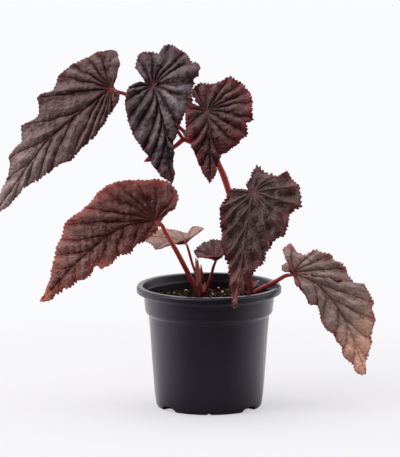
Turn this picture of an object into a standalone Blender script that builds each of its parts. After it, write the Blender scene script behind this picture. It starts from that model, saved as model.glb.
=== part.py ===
"""A potted begonia: dark red leaves on red stalks, rooted in a round black nursery pot.

Metres, +Z up.  The front of the plant faces -Y, and +X is to the right seen from the front.
The origin is the centre of the pot's base, on the surface that the pot stands on.
"""

import math

import bmesh
import bpy
import numpy as np

MM = 0.001

# Neighbouring pieces keep this gap, so that each one stays a solid of its own.
GAP = 0.3 * MM

# Pot: a thin-walled cup with a collar below a flat, turned-down rim.
POT_SEGMENTS = 48
POT_HEIGHT = 100.0 * MM
RIM_RADIUS = 60.0 * MM
RIM_INNER_RADIUS = 54.5 * MM
LIP_HEIGHT = 5.4 * MM
COLLAR_TOP_RADIUS = 54.4 * MM
COLLAR_BOTTOM_RADIUS = 52.7 * MM
COLLAR_BOTTOM = 78.0 * MM
BODY_TOP_RADIUS = 50.4 * MM
BODY_BOTTOM_RADIUS = 44.6 * MM
FOOT_RADIUS = 40.5 * MM
WALL = 1.2 * MM

# Openings under the foot: (angle from the front in degrees, half width, height).
DRAIN_ARCHES = [
    (-51.5, 8.5 * MM, 3.0 * MM),
    (51.5, 8.5 * MM, 3.0 * MM),
    (-128.5, 8.5 * MM, 3.0 * MM),
    (128.5, 8.5 * MM, 3.0 * MM),
    (0.0, 1.6 * MM, 1.0 * MM),
]
ARCH_INNER_RADIUS = 36.0 * MM

# Soil: fills the pot to a little under the rim, slightly heaped in the middle.
SOIL_EDGE_HEIGHT = 88.2 * MM
SOIL_MIDDLE_HEIGHT = 89.6 * MM

# The plant's places were measured on a front view taken from a little above and far away.
# A place is (x, height, y) in millimetres: x and height as they are seen in that view, from
# the middle of the pot's base, and y the real distance behind the pot's axis.
VIEW_TILT = math.radians(10.5)
VIEW_DISTANCE = 5.5
VIEW_MIDDLE_X = -7.4 * MM
VIEW_MIDDLE_HEIGHT = 145.0 * MM

# Leaf blades.
BLADE_THICKNESS = 0.8 * MM
LOBE_RAYS = 8
SIDE_RAYS = 17
RAY_STEPS = 3
VALLEY_WIDTH = 3.0
STALK_SIDES = 8
CANE_SIDES = 10

# Each leaf, in the millimetres of the front view.  joint is (x, height, y) where the stalk
# meets the blade, notch the cleft beside it, and the two edges run from the notch to the tip.
# lean is how far the blade goes back for each millimetre to the right and upwards, bow how
# far its middle comes forward, fold how steeply its halves come forward from the midrib, and
# curl how far its margin turns back.
LEAVES = {
    "top_left": dict(
        joint=(-81, 260, 22), notch=(-78, 262), tip=(-177, 156),
        midrib=[(-111, 236), (-131, 219), (-148, 197)],
        edge_one=[(-76, 271), (-75, 283), (-78, 291), (-91, 290), (-102, 285), (-112, 280),
                  (-123, 271), (-130, 257), (-139, 254), (-140, 238), (-153, 230),
                  (-154, 215), (-163, 206), (-163, 198), (-166, 188), (-170, 177)],
        edge_two=[(-74, 257), (-73, 250), (-79, 241), (-85, 233), (-92, 224), (-102, 214),
                  (-107, 209), (-115, 201), (-123, 198), (-131, 192), (-141, 185),
                  (-150, 180), (-158, 172), (-165, 164)],
        lean=(-0.14, 0.30), bow=7, fold=0.12, curl=3),
    "top_middle": dict(
        joint=(-46, 263, 8), notch=(-53, 266), tip=(-30, 182),
        midrib=[(-40, 242), (-35, 218)],
        edge_one=[(-59, 276), (-60, 281), (-55, 289), (-48, 290), (-41, 289), (-35, 296),
                  (-30, 295), (-23, 291), (-17, 287), (-14, 283), (-7, 278), (-8, 274),
                  (-13, 272), (-12, 265), (-13, 256), (-14, 250), (-18, 243), (-22, 233),
                  (-26, 221), (-30, 213), (-29, 206), (-29, 190)],
        edge_two=[(-62, 264), (-66, 261), (-68, 252), (-68, 243), (-65, 230), (-59, 217),
                  (-51, 206), (-47, 199), (-40, 191)],
        lean=(-0.06, 0.45), bow=6, fold=0.22, curl=3),
    "top_right": dict(
        joint=(-2, 242, -12), notch=(-8, 246), tip=(1, 183),
        midrib=[(0, 226), (1, 206)],
        edge_one=[(-11, 251), (-12, 257), (-11, 261), (-7, 264), (0, 264), (8, 265),
                  (15, 269), (20, 268), (25, 266), (30, 262), (34, 255), (35, 247),
                  (36, 240), (35, 233), (31, 232), (32, 227), (31, 221), (26, 216),
                  (20, 212), (14, 207), (9, 206), (6, 195)],
        edge_two=[(-16, 245), (-19, 240), (-19, 229), (-18, 223), (-15, 216), (-14, 212),
                  (-9, 201), (-6, 194)],
        lean=(0.08, 0.40), bow=5, fold=0.18, curl=3),
    "right_front": dict(
        joint=(36, 175, -30), notch=(32, 177), tip=(21, 79),
        midrib=[(31, 148), (27, 119)],
        edge_one=[(31, 182), (35, 187), (36, 191), (39, 194), (44, 194), (48, 190),
                  (52, 188), (57, 190), (63, 190), (68, 186), (72, 180), (75, 174),
                  (76, 168), (75, 162), (70, 160), (66, 157), (64, 152), (65, 146),
                  (61, 140), (55, 137), (50, 131), (46, 124), (41, 115), (37, 109),
                  (30, 99), (25, 87)],
        edge_two=[(22, 177), (18, 175), (13, 169), (10, 164), (9, 154), (11, 142),
                  (11, 132), (13, 124), (16, 115), (17, 107), (18, 95)],
        lean=(0.12, 0.42), bow=3, fold=0.25, curl=3),
    "low_left": dict(
        joint=(-44, 152, -15), notch=(-39, 151), tip=(-139, 85),
        midrib=[(-73, 145), (-102, 123)],
        edge_one=[(-35, 156), (-30, 160), (-25, 168), (-26, 173), (-30, 180), (-38, 184),
                  (-47, 185), (-57, 185), (-72, 183), (-81, 181), (-90, 175), (-96, 169),
                  (-103, 161), (-114, 154), (-118, 148), (-122, 136), (-126, 126),
                  (-128, 115), (-130, 107), (-133, 97)],
        edge_two=[(-39, 148), (-42, 145), (-47, 139), (-52, 138), (-58, 134), (-62, 129),
                  (-67, 124), (-75, 125), (-78, 120), (-82, 116), (-88, 114), (-95, 114),
                  (-97, 110), (-102, 104), (-109, 103), (-114, 97), (-124, 93), (-130, 87)],
        lean=(-0.10, 0.34), bow=8, fold=0.12, curl=4),
    "low_right": dict(
        joint=(69, 109, 3), notch=(66, 109), tip=(130, 26),
        midrib=[(91, 97), (112, 70)],
        edge_one=[(64, 114), (61, 120), (59, 126), (65, 131), (70, 127), (78, 123),
                  (82, 125), (88, 126), (93, 125), (100, 122), (105, 117), (109, 117),
                  (113, 109), (117, 104), (120, 99), (125, 99), (130, 94), (134, 90),
                  (135, 77), (136, 67), (134, 60), (132, 47), (131, 36)],
        edge_two=[(70, 105), (72, 99), (77, 93), (80, 88), (83, 83), (90, 82), (92, 74),
                  (94, 67), (97, 62), (103, 58), (106, 52), (110, 47), (112, 40),
                  (115, 35), (120, 33), (125, 25)],
        lean=(0.10, 0.38), bow=6, fold=0.14, curl=3),
    "young_left": dict(
        joint=(-19, 134.5, 8), notch=(-19.5, 133), tip=(-58, 136),
        midrib=[(-32, 137), (-45, 138)],
        edge_one=[(-15, 137), (-11, 140), (-6, 142), (-4, 145), (-6, 146), (-10, 147),
                  (-14, 146), (-18, 142), (-24, 143), (-30, 144), (-39, 144), (-50, 141)],
        edge_two=[(-25, 132.5), (-30, 132), (-36, 130.5), (-40, 128), (-44, 128),
                  (-47, 131), (-53, 134)],
        lean=(0.0, 2.2), bow=0, fold=0.0, curl=1),
    "young_middle": dict(
        joint=(5, 120, -2), notch=(5, 118.5), tip=(-12.5, 127),
        midrib=[(-4, 124.5)],
        edge_one=[(2, 120), (-3, 121), (-9, 121), (-12, 124)],
        edge_two=[(8, 120), (12, 123), (17, 126), (18, 130), (15, 134), (10, 136),
                  (6, 137), (1, 136), (-5, 134), (-7, 131), (-10, 129)],
        lean=(0.0, 1.0), bow=0, fold=0.10, curl=1),
}

# Stems, each point (x, height, y, radius) in the same millimetres.
CANE = [
    (33, 70, 6, 1.4), (35, 82, 4, 2.3), (35, 91, 2, 2.6), (33.5, 103, 2, 2.3),
    (28, 127, 3, 2.2), (24.5, 141, 4, 2.7), (22, 152, 5, 2.2), (17, 171, 6, 2.2),
    (12.5, 186, 7, 2.5), (7, 199, 8, 2.1), (2, 210, 9, 2.5), (-4, 216.5, 10, 2.1),
    (-15, 216.5, 10, 2.1), (-21, 218, 9, 2.1), (-29, 212, 6, 1.7), (-47, 203, -1, 1.6),
]
CROWN = [
    (-6, 73, 5, 2.4), (-6, 83, 4, 4.6), (-6, 91, 2, 5.6), (-6.5, 96, 2, 5.2),
    (-7, 99.5, 2, 4.2), (-7, 101.2, 2, 2.8), (-7, 101.9, 2, 0.8),
]
TIP_BUD = [(-47.5, 202.7, -1.2, 1.4), (-50, 201.7, -2.2, 2.1), (-53.5, 200, -3.4, 0.3)]

# Leaf stalks: the stem that carries each one, and its route.  The first point is on that
# stem's axis, and the last one, at the leaf's joint, is added under the blade.
STALKS = {
    "top_left": (CANE, [(-15, 216.5, 10, 1.6), (-22, 226, 14, 1.6), (-44, 245, 21, 1.6),
                        (-67, 256, 25, 1.6), (-75, 258.5, 25.5, 1.5)]),
    "top_middle": (CANE, [(-21, 218, 9, 1.5), (-29, 230, 8, 1.5), (-38, 247, 8, 1.5)]),
    "top_right": (CANE, [(2, 210, 9, 1.5), (-3, 222, 1, 1.5), (-5, 233, -4, 1.5)]),
    "right_front": (CANE, [(24.5, 141, 4, 1.7), (29, 151, -9, 1.6), (33, 166, -20, 1.6)]),
    "low_left": (CROWN, [(-6.5, 92, 2, 2.0), (-12, 100, 1, 2.0), (-18, 112.5, -1.5, 2.0),
                         (-25, 126, -5, 1.9), (-34.5, 141, -10, 1.8), (-39, 148, -11, 1.7)]),
    "low_right": (CANE, [(35, 91, 2, 1.9), (42, 96.5, 4, 1.9), (50, 100.5, 5.5, 1.9),
                         (57, 104.2, 6, 1.8), (63, 107.2, 6.5, 1.7)]),
    "young_left": (CROWN, [(-7.4, 99, 3, 1.1), (-11, 108.5, 5, 1.1), (-14, 117, 7, 1.1),
                           (-16.5, 126, 8, 1.1)]),
    "young_middle": (CROWN, [(-6, 94, 2, 1.2), (0.6, 100.5, 2, 1.2), (2.4, 110, 1, 1.2)]),
}

# Stipules: papery pointed scales.  Points are (x, height, y, half width) in millimetres.
STIPULES = {
    "crown_stipule_front": [(-6.6, 101.7, 0.6, 1.4), (-6.2, 108, -1.6, 2.2),
                            (-8, 115, -3, 1.5), (-10, 121, -3.6, 0.3)],
    "crown_stipule_right": [(-4.0, 101.5, 1.4, 1.0), (-3.2, 106, 1.2, 1.7),
                            (-5, 115.5, 0.8, 0.3)],
    "crown_stipule_back": [(-6.2, 102.3, 4.3, 1.2), (-6.5, 109, 6.5, 1.5),
                           (-9.5, 120, 7, 0.3)],
    "crown_scale_low": [(-3, 95.5, -2.9, 1.3), (-3, 99, -2.4, 1.8), (-2.5, 105, -1.6, 0.3)],
    "cane_base_stipule": [(36.9, 98.2, 4.0, 0.7), (38.6, 100, 5, 1.7), (42, 103, 6.5, 0.3)],
    "upper_stipule": [(-18.7, 220.3, 8.6, 1.0), (-20, 223.5, 7.6, 1.5), (-18.5, 227, 7, 0.3)],
    "upper_stipule_thin": [(-16.4, 219.5, 9.2, 0.7), (-16.4, 223, 8.6, 0.7),
                           (-16.6, 225.5, 8, 0.3)],
}
STIPULE_THICKNESS = 0.8

# Pale grains lying on the soil: (x, y, radius) in millimetres from the pot's axis.
GRAINS = [(-19, 32, 1.3), (3, 13, 1.2), (11, 22, 1.4), (8, 44, 1.1), (-29, 22, 1.0), (22, 27, 1.1)]

# Surface finishes: (colour, roughness).
FINISHES = {
    "black_plastic": ((0.022, 0.022, 0.025), 0.42),
    "soil": ((0.020, 0.014, 0.010), 0.95),
    "grain": ((0.55, 0.50, 0.42), 0.85),
    "stem": ((0.26, 0.012, 0.018), 0.42),
    "leaf": ((0.085, 0.035, 0.038), 0.50),
    "stipule": ((0.50, 0.16, 0.13), 0.60),
}


def finish(name):
    """Return the named material, made on its first use."""
    material = bpy.data.materials.get(name)
    if material is None:
        colour, roughness = FINISHES[name]
        material = bpy.data.materials.new(name)
        material.use_nodes = True
        shader = material.node_tree.nodes["Principled BSDF"]
        shader.inputs["Base Color"].default_value = (*colour, 1.0)
        shader.inputs["Roughness"].default_value = roughness
        shader.inputs["Metallic"].default_value = 0.0
    return material


def add_object(name, vertices, faces, material=None):
    """Make one closed mesh object with outward faces and merged doubles."""
    shape = bmesh.new()
    corners = [shape.verts.new(vertex) for vertex in vertices]
    for face in faces:
        shape.faces.new([corners[index] for index in face])
    bmesh.ops.remove_doubles(shape, verts=shape.verts, dist=1e-7)
    bmesh.ops.recalc_face_normals(shape, faces=shape.faces)
    mesh = bpy.data.meshes.new(name)
    shape.to_mesh(mesh)
    shape.free()
    mesh.shade_smooth()
    mesh.set_sharp_from_angle(angle=math.radians(40))
    piece = bpy.data.objects.new(name, mesh)
    bpy.context.scene.collection.objects.link(piece)
    if material:
        mesh.materials.append(finish(material))
    return piece


def add_cutter(name, vertices, faces):
    """Make a closed mesh that only serves to cut another."""
    cutter = add_object(name, vertices, faces)
    cutter.hide_render = True
    cutter.display_type = "WIRE"
    return cutter


def cut(piece, cutter):
    """Take the cutter's shape out of the piece."""
    modifier = piece.modifiers.new(cutter.name, "BOOLEAN")
    modifier.operation = "DIFFERENCE"
    modifier.solver = "EXACT"
    modifier.object = cutter


def seen(places):
    """Turn front-view places (x, height, y) in millimetres into points in metres.

    The eye looks at the view's middle point along a line tilted down by VIEW_TILT.  A point
    nearer than that middle is seen larger, so its offset shrinks by 1 - nearer / distance,
    where nearer follows from the real depth y.
    """
    x, height, y = np.asarray(places, dtype=float).T[:3] * MM
    sine = math.sin(VIEW_TILT)
    cosine = math.cos(VIEW_TILT)
    middle_z = VIEW_MIDDLE_HEIGHT * VIEW_DISTANCE / (
        VIEW_DISTANCE * cosine - VIEW_MIDDLE_HEIGHT * sine)
    across = x - VIEW_MIDDLE_X
    upward = height - VIEW_MIDDLE_HEIGHT
    nearer = (upward * sine - y) / (cosine + upward * sine / VIEW_DISTANCE)
    scale = 1.0 - nearer / VIEW_DISTANCE
    return np.stack([
        VIEW_MIDDLE_X + across * scale,
        y,
        middle_z + upward * scale * cosine + nearer * sine,
    ], axis=1)


def smooth_line(points, steps):
    """Read a Catmull-Rom curve through the points, with the given steps between each two."""
    points = np.asarray(points, dtype=float)
    padded = np.vstack([2 * points[0] - points[1], points, 2 * points[-1] - points[-2]])
    t = np.linspace(0.0, 1.0, steps, endpoint=False)[:, None]
    spans = []
    for before, start, end, after in zip(padded, padded[1:], padded[2:], padded[3:]):
        spans.append(0.5 * (2 * start + (end - before) * t
                            + (2 * before - 5 * start + 4 * end - after) * t ** 2
                            + (3 * start - before - 3 * end + after) * t ** 3))
    return np.vstack(spans + [points[-1:]])


def at_fractions(line, fractions):
    """Return the points at the given fractions of a line's length."""
    lengths = np.linalg.norm(np.diff(line, axis=0), axis=1)
    travelled = np.concatenate([[0.0], np.cumsum(lengths)])
    wanted = np.asarray(fractions) * travelled[-1]
    return np.stack([np.interp(wanted, travelled, column) for column in line.T], axis=1)


def turned(name, profile, segments, material):
    """Turn a profile of (radius, z) about +Z; it starts and ends on the axis."""
    angles = np.arange(segments) * 2 * math.pi / segments
    vertices = [(0.0, 0.0, profile[0][1]), (0.0, 0.0, profile[-1][1])]
    for radius, z in profile[1:-1]:
        vertices += [(radius * math.sin(a), -radius * math.cos(a), z) for a in angles]
    faces = []
    last_ring = len(profile) - 3
    for i in range(segments):
        j = (i + 1) % segments
        faces.append((0, 2 + j, 2 + i))
        for ring in range(last_ring):
            low = 2 + ring * segments
            high = low + segments
            faces.append((low + i, low + j, high + j, high + i))
        top = 2 + last_ring * segments
        faces.append((1, top + i, top + j))
    return add_object(name, vertices, faces, material)


def ring_frames(line):
    """Return two unit vectors square to the line at each point, without twist."""
    tangents = np.gradient(line, axis=0)
    tangents /= np.linalg.norm(tangents, axis=1)[:, None]
    side = np.cross(tangents[0], (0.0, 1.0, 0.0))
    if np.linalg.norm(side) < 1e-3:
        side = np.cross(tangents[0], (1.0, 0.0, 0.0))
    sides = []
    for tangent in tangents:
        side = side - tangent * np.dot(side, tangent)
        side = side / np.linalg.norm(side)
        sides.append(side)
    sides = np.array(sides)
    return sides, np.cross(tangents, sides)


def swept(line, half_widths, half_depths, corners):
    """Carry an ellipse along a line in metres; return vertices and faces with flat ends."""
    sides, fronts = ring_frames(line)
    angles = np.arange(corners) * 2 * math.pi / corners
    rings = (line[:, None, :]
             + sides[:, None, :] * (half_widths[:, None] * np.cos(angles))[:, :, None]
             + fronts[:, None, :] * (half_depths[:, None] * np.sin(angles))[:, :, None])
    faces = [tuple(range(corners))[::-1]]
    for ring in range(len(line) - 1):
        for i in range(corners):
            j = (i + 1) % corners
            low = ring * corners
            high = low + corners
            faces.append((low + i, low + j, high + j, high + i))
    last = (len(line) - 1) * corners
    faces.append(tuple(range(last, last + corners)))
    return rings.reshape(-1, 3), faces


def stem(name, route, steps, corners, material, grow=0.0):
    """Make a round stem along a route of (x, height, y, radius) in millimetres."""
    line = smooth_line(route, steps)
    radii = line[:, 3] * MM + grow
    vertices, faces = swept(seen(line), radii, radii, corners)
    if material is None:
        return add_cutter(name, vertices, faces)
    return add_object(name, vertices, faces, material)


def make_pot():
    """Turn the pot's wall and floor, then cut the drain arches under its foot."""
    lip_bottom = POT_HEIGHT - LIP_HEIGHT
    step_rise = 1.4 * MM
    body_bottom = 12.0 * MM
    outer = [
        (0.0, 0.0),
        (FOOT_RADIUS, 0.0),
        (FOOT_RADIUS + 1.9 * MM, 0.8 * MM),
        (FOOT_RADIUS + 2.9 * MM, 3.0 * MM),
        (BODY_BOTTOM_RADIUS, body_bottom),
        (BODY_TOP_RADIUS, COLLAR_BOTTOM - 2 * step_rise),
        (BODY_TOP_RADIUS + 0.6 * MM, COLLAR_BOTTOM - step_rise),
        (COLLAR_BOTTOM_RADIUS - 0.5 * MM, COLLAR_BOTTOM),
        (COLLAR_BOTTOM_RADIUS, COLLAR_BOTTOM + step_rise),
        (COLLAR_TOP_RADIUS, lip_bottom - 1.8 * MM),
        (RIM_INNER_RADIUS + 0.9 * MM, lip_bottom - 0.4 * MM),
    ]
    lip = [
        (RIM_INNER_RADIUS + 0.9 * MM, POT_HEIGHT - WALL),
        (RIM_RADIUS - WALL, POT_HEIGHT - WALL),
        (RIM_RADIUS - WALL, lip_bottom),
        (RIM_RADIUS, lip_bottom),
        (RIM_RADIUS, POT_HEIGHT - 2.6 * MM),
        (RIM_RADIUS - 0.4 * MM, POT_HEIGHT - 2.0 * MM),
        (RIM_RADIUS - 0.1 * MM, POT_HEIGHT - 1.3 * MM),
        (RIM_RADIUS - 0.7 * MM, POT_HEIGHT),
        (RIM_INNER_RADIUS + 0.4 * MM, POT_HEIGHT),
        (RIM_INNER_RADIUS, POT_HEIGHT - 0.5 * MM),
    ]
    inner = [
        (RIM_INNER_RADIUS - 0.4 * MM, lip_bottom),
        (COLLAR_TOP_RADIUS - WALL, lip_bottom - 1.0 * MM),
        (COLLAR_BOTTOM_RADIUS - WALL, COLLAR_BOTTOM + step_rise),
        (BODY_TOP_RADIUS - WALL, COLLAR_BOTTOM - 2 * step_rise),
        (BODY_BOTTOM_RADIUS - WALL, body_bottom),
        (FOOT_RADIUS + 1.6 * MM, 3.6 * MM),
        (FOOT_RADIUS, WALL),
        (0.0, WALL),
    ]
    pot = turned("nursery_pot", outer + lip + inner, POT_SEGMENTS, "black_plastic")
    arch_corners = 16
    for number, (degrees, half_width, height) in enumerate(DRAIN_ARCHES, start=1):
        angle = math.radians(degrees)
        outward = np.array([math.sin(angle), -math.cos(angle), 0.0])
        line = np.array([outward * ARCH_INNER_RADIUS, outward * RIM_RADIUS])
        across = np.array([math.cos(angle), math.sin(angle), 0.0])
        turn = np.arange(arch_corners) * 2 * math.pi / arch_corners
        ring = (across * (half_width * np.cos(turn))[:, None]
                + np.array([0.0, 0.0, 1.0]) * (height * np.sin(turn))[:, None])
        vertices = np.vstack([line[0] + ring, line[1] + ring])
        faces = [tuple(range(arch_corners)), tuple(range(arch_corners, 2 * arch_corners))]
        for i in range(arch_corners):
            j = (i + 1) % arch_corners
            faces.append((i, j, arch_corners + j, arch_corners + i))
        cut(pot, add_cutter(f"drain_arch_{number}", vertices, faces))
    return pot


def soil_profile():
    """Return the soil's (radius, z) outline, a gap inside the pot's inner wall."""
    step_rise = 1.4 * MM
    return [
        (0.0, WALL + GAP),
        (FOOT_RADIUS - GAP, WALL + GAP),
        (FOOT_RADIUS + 1.2 * MM, 4.0 * MM),
        (BODY_BOTTOM_RADIUS - WALL - GAP, 12.4 * MM),
        (BODY_TOP_RADIUS - WALL - GAP, COLLAR_BOTTOM - 2 * step_rise),
        (COLLAR_BOTTOM_RADIUS - WALL - GAP, COLLAR_BOTTOM + 1.8 * MM),
        (COLLAR_BOTTOM_RADIUS - GAP - 0.5 * MM, SOIL_EDGE_HEIGHT),
        (42.0 * MM, SOIL_EDGE_HEIGHT + 0.8 * MM),
        (25.0 * MM, SOIL_MIDDLE_HEIGHT - 0.2 * MM),
        (0.0, SOIL_MIDDLE_HEIGHT),
    ]


def make_soil():
    """Turn the soil and open a socket in it for the cane and for the crown."""
    soil = turned("potting_soil", soil_profile(), POT_SEGMENTS, "soil")
    for name, route in (("cane_socket", CANE[:4]), ("crown_socket", CROWN[:5])):
        x, height, y, radius = route[0]
        below = (x, height - 0.6, y, radius)
        cut(soil, stem(name, [below] + route[1:], 3, CANE_SIDES, None, grow=1.5 * GAP))
    return soil


def make_grains():
    """Lay the pale grains on the soil."""
    profile = soil_profile()[-4:][::-1]
    radii = [radius for radius, _ in profile]
    heights = [z for _, z in profile]
    for number, (x, y, radius) in enumerate(GRAINS, start=1):
        ground = float(np.interp(math.hypot(x, y) * MM, radii, heights))
        flatness = 0.7
        shape = bmesh.new()
        bmesh.ops.create_icosphere(shape, subdivisions=1, radius=radius * MM)
        for corner in shape.verts:
            wobble = 1.0 + 0.16 * math.sin(9.0 * corner.co.x / MM + 5.0 * number)
            corner.co *= wobble
            corner.co.z *= flatness
        lowest = min(corner.co.z for corner in shape.verts)
        for corner in shape.verts:
            corner.co.x += x * MM
            corner.co.y += y * MM
            corner.co.z += ground + GAP - lowest
        vertices = [tuple(corner.co) for corner in shape.verts]
        faces = [[corner.index for corner in face.verts] for face in shape.faces]
        shape.free()
        add_object(f"soil_grain_{number}", vertices, faces, "grain")


def side_rays(leaf, edge):
    """Return one half of the blade as rays from the midrib to the margin.

    The result has an array row for each ray, from the notch round to the tip, and a column
    for each step out.  The first LOBE_RAYS start at the joint; the others start at places
    that move evenly along the midrib.  A ray is a quadratic curve that leaves the midrib at
    a sharper angle than a straight line would.
    """
    joint = np.array(leaf["joint"][:2], dtype=float)
    tip = np.array(leaf["tip"], dtype=float)
    midrib = smooth_line([joint, *leaf["midrib"], tip], 8)
    margin = smooth_line([leaf["notch"], *edge, tip], 6)
    length = np.linalg.norm(tip - joint)
    forward = (margin - joint) @ (tip - joint) / length ** 2
    travelled = np.concatenate([[0.0], np.cumsum(np.linalg.norm(np.diff(margin, axis=0), axis=1))])
    lobe_end = travelled[np.argmax(forward > 0.34)] / travelled[-1]
    along_lobe = np.linspace(0.0, lobe_end, LOBE_RAYS, endpoint=False)
    along_side = np.linspace(lobe_end, 1.0, SIDE_RAYS + 1)
    ends = at_fractions(margin, np.concatenate([along_lobe, along_side]))
    spine = np.concatenate([np.zeros(LOBE_RAYS), np.linspace(0.0, 1.0, SIDE_RAYS + 1)])
    starts = at_fractions(midrib, spine)
    ahead = at_fractions(midrib, np.clip(spine + 0.04, 0, 1)) - at_fractions(
        midrib, np.clip(spine - 0.04, 0, 1))
    ahead /= np.linalg.norm(ahead, axis=1)[:, None]
    reach = np.linalg.norm(ends - starts, axis=1)[:, None]
    bend = 0.10 * np.clip(spine / 0.1, 0, 1)[:, None]
    bends = (starts + ends) / 2 + bend * reach * ahead
    t = np.linspace(0.0, 1.0, RAY_STEPS + 1)[None, :, None]
    flat = (starts[:, None] * (1 - t) ** 2 + 2 * bends[:, None] * t * (1 - t)
            + ends[:, None] * t ** 2)
    offset = flat - starts[:, None]
    aside = offset[..., 0] * ahead[:, None, 1] - offset[..., 1] * ahead[:, None, 0]
    aside = np.hypot(aside, VALLEY_WIDTH) - VALLEY_WIDTH
    from_joint = flat - joint
    onward = np.clip(from_joint @ (tip - joint) / length ** 2, -0.3, 1.0)
    depth = (leaf["joint"][2]
             + from_joint @ np.array(leaf["lean"])
             - leaf["bow"] * (1 - (2 * onward - 1) ** 2)
             - leaf["fold"] * aside
             + leaf["curl"] * t[..., 0] ** 3 * np.minimum(reach / 20.0, 1.0))
    return np.concatenate([flat, depth[..., None]], axis=2)


def blade_sheet(leaf):
    """Return the blade's middle surface: points in metres, quads and its margin loop."""
    halves = [side_rays(leaf, leaf["edge_one"]), side_rays(leaf, leaf["edge_two"])]
    rays, steps = halves[0].shape[:2]
    points = np.vstack([seen(half.reshape(-1, 3)) for half in halves])
    quads = []
    for half in range(2):
        for ray in range(rays - 1):
            for step in range(steps - 1):
                a = half * rays * steps + ray * steps + step
                quad = (a, a + 1, a + steps + 1, a + steps)
                quads.append(quad if half == 0 else quad[::-1])
    return points, quads


def make_leaf(name, leaf):
    """Build the blade as a thin closed shell about its middle surface."""
    points, quads = blade_sheet(leaf)
    sheet = bmesh.new()
    corners = [sheet.verts.new(point) for point in points]
    for quad in quads:
        sheet.faces.new([corners[index] for index in quad])
    bmesh.ops.remove_doubles(sheet, verts=sheet.verts, dist=0.05 * MM)
    sheet.normal_update()
    sheet.verts.index_update()
    half = BLADE_THICKNESS / 2
    over = [tuple(corner.co + corner.normal * half) for corner in sheet.verts]
    under = [tuple(corner.co - corner.normal * half) for corner in sheet.verts]
    count = len(over)
    faces = []
    for face in sheet.faces:
        loop = [corner.index for corner in face.verts]
        faces.append(loop)
        faces.append([index + count for index in reversed(loop)])
    for edge in sheet.edges:
        if edge.is_boundary:
            a, b = [loop_end.index for loop_end in edge.verts]
            faces.append([a, b, b + count, a + count])
    sheet.free()
    return add_object(f"leaf_{name}", over + under, faces, "leaf")


def joint_direction(leaf):
    """Return the joint in metres and the unit vector out of the blade's upper face there."""
    x, height, y = leaf["joint"]
    to_tip = np.array(leaf["tip"]) - (x, height)
    lean_x, lean_up = leaf["lean"] - 4 * leaf["bow"] * to_tip / np.dot(to_tip, to_tip)
    step = 1.0
    corner, right, above = seen([
        (x, height, y),
        (x + step, height, y + lean_x * step),
        (x, height + step, y + lean_up * step),
    ])
    normal = np.cross(right - corner, above - corner)
    return corner, normal / np.linalg.norm(normal)


def first_clear(line, radii, carrier):
    """Return the first place on a line whose round end clears the stem that carries it."""
    stem_line = smooth_line(carrier, 12)
    axis = seen(stem_line)
    sides, fronts = ring_frames(line)
    turn = np.linspace(0.0, 2 * math.pi, 12)[:, None, None]
    around = sides * np.cos(turn) + fronts * np.sin(turn)
    rims = line + radii[:, None] * around
    away = np.linalg.norm(rims[:, :, None] - axis, axis=3)
    gap = away.min(axis=2) - stem_line[away.argmin(axis=2), 3] * MM
    return int(np.argmax(gap.min(axis=0) > GAP))


def make_stalk(name, carrier, route, leaf):
    """Sweep the stalk from the side of its stem to the under side of its blade."""
    joint, outward = joint_direction(leaf)
    corners = np.column_stack([seen(route), np.array(route)[:, 3] * MM])
    end_radius = corners[-1, 3]
    arriving = joint - corners[-1, :3]
    cosine = np.dot(arriving, outward) / np.linalg.norm(arriving)
    end = joint - outward * (
        BLADE_THICKNESS / 2 + 1.3 * GAP + end_radius * math.sqrt(1 - cosine ** 2))
    line = smooth_line(np.vstack([corners, [*end, end_radius]]), 80)
    line = line[first_clear(line[:, :3], line[:, 3], carrier):]
    line = at_fractions(line, np.linspace(0.0, 1.0, 3 * len(route) + 1))
    vertices, faces = swept(line[:, :3], line[:, 3], line[:, 3], STALK_SIDES)
    return add_object(f"stalk_{name}", vertices, faces, "stem")


def make_stipule(name, route):
    """Sweep a thin pointed scale along its route."""
    line = smooth_line(route, 3)
    widths = line[:, 3] * MM
    depths = np.minimum(widths, STIPULE_THICKNESS * MM / 2)
    vertices, faces = swept(seen(line), widths, depths, 8)
    return add_object(name, vertices, faces, "stipule")


def main():
    for old in list(bpy.data.objects):
        bpy.data.objects.remove(old, do_unlink=True)
    make_pot()
    make_soil()
    make_grains()
    stem("main_cane", CANE, 3, CANE_SIDES, "stem")
    stem("crown", CROWN, 3, CANE_SIDES, "stem")
    stem("tip_bud", TIP_BUD, 3, 8, "stipule")
    for name, leaf in LEAVES.items():
        make_leaf(name, leaf)
        make_stalk(name, *STALKS[name], leaf)
    for name, route in STIPULES.items():
        make_stipule(name, route)


main()
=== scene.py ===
# %% [markdown]
# # A potted begonia
#
# This lesson dresses a measured model of a dark-leaved cane begonia in its black nursery pot.
# The measured model comes in first as a fixed frame. Every visible piece is then a surface that
# we work out ourselves with numpy: a grid of points that follows a formula, closed into a solid.
# All lengths in the tables are in millimetres, and everything Blender gets is in metres.

# %% Load the measured model
import math

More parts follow.
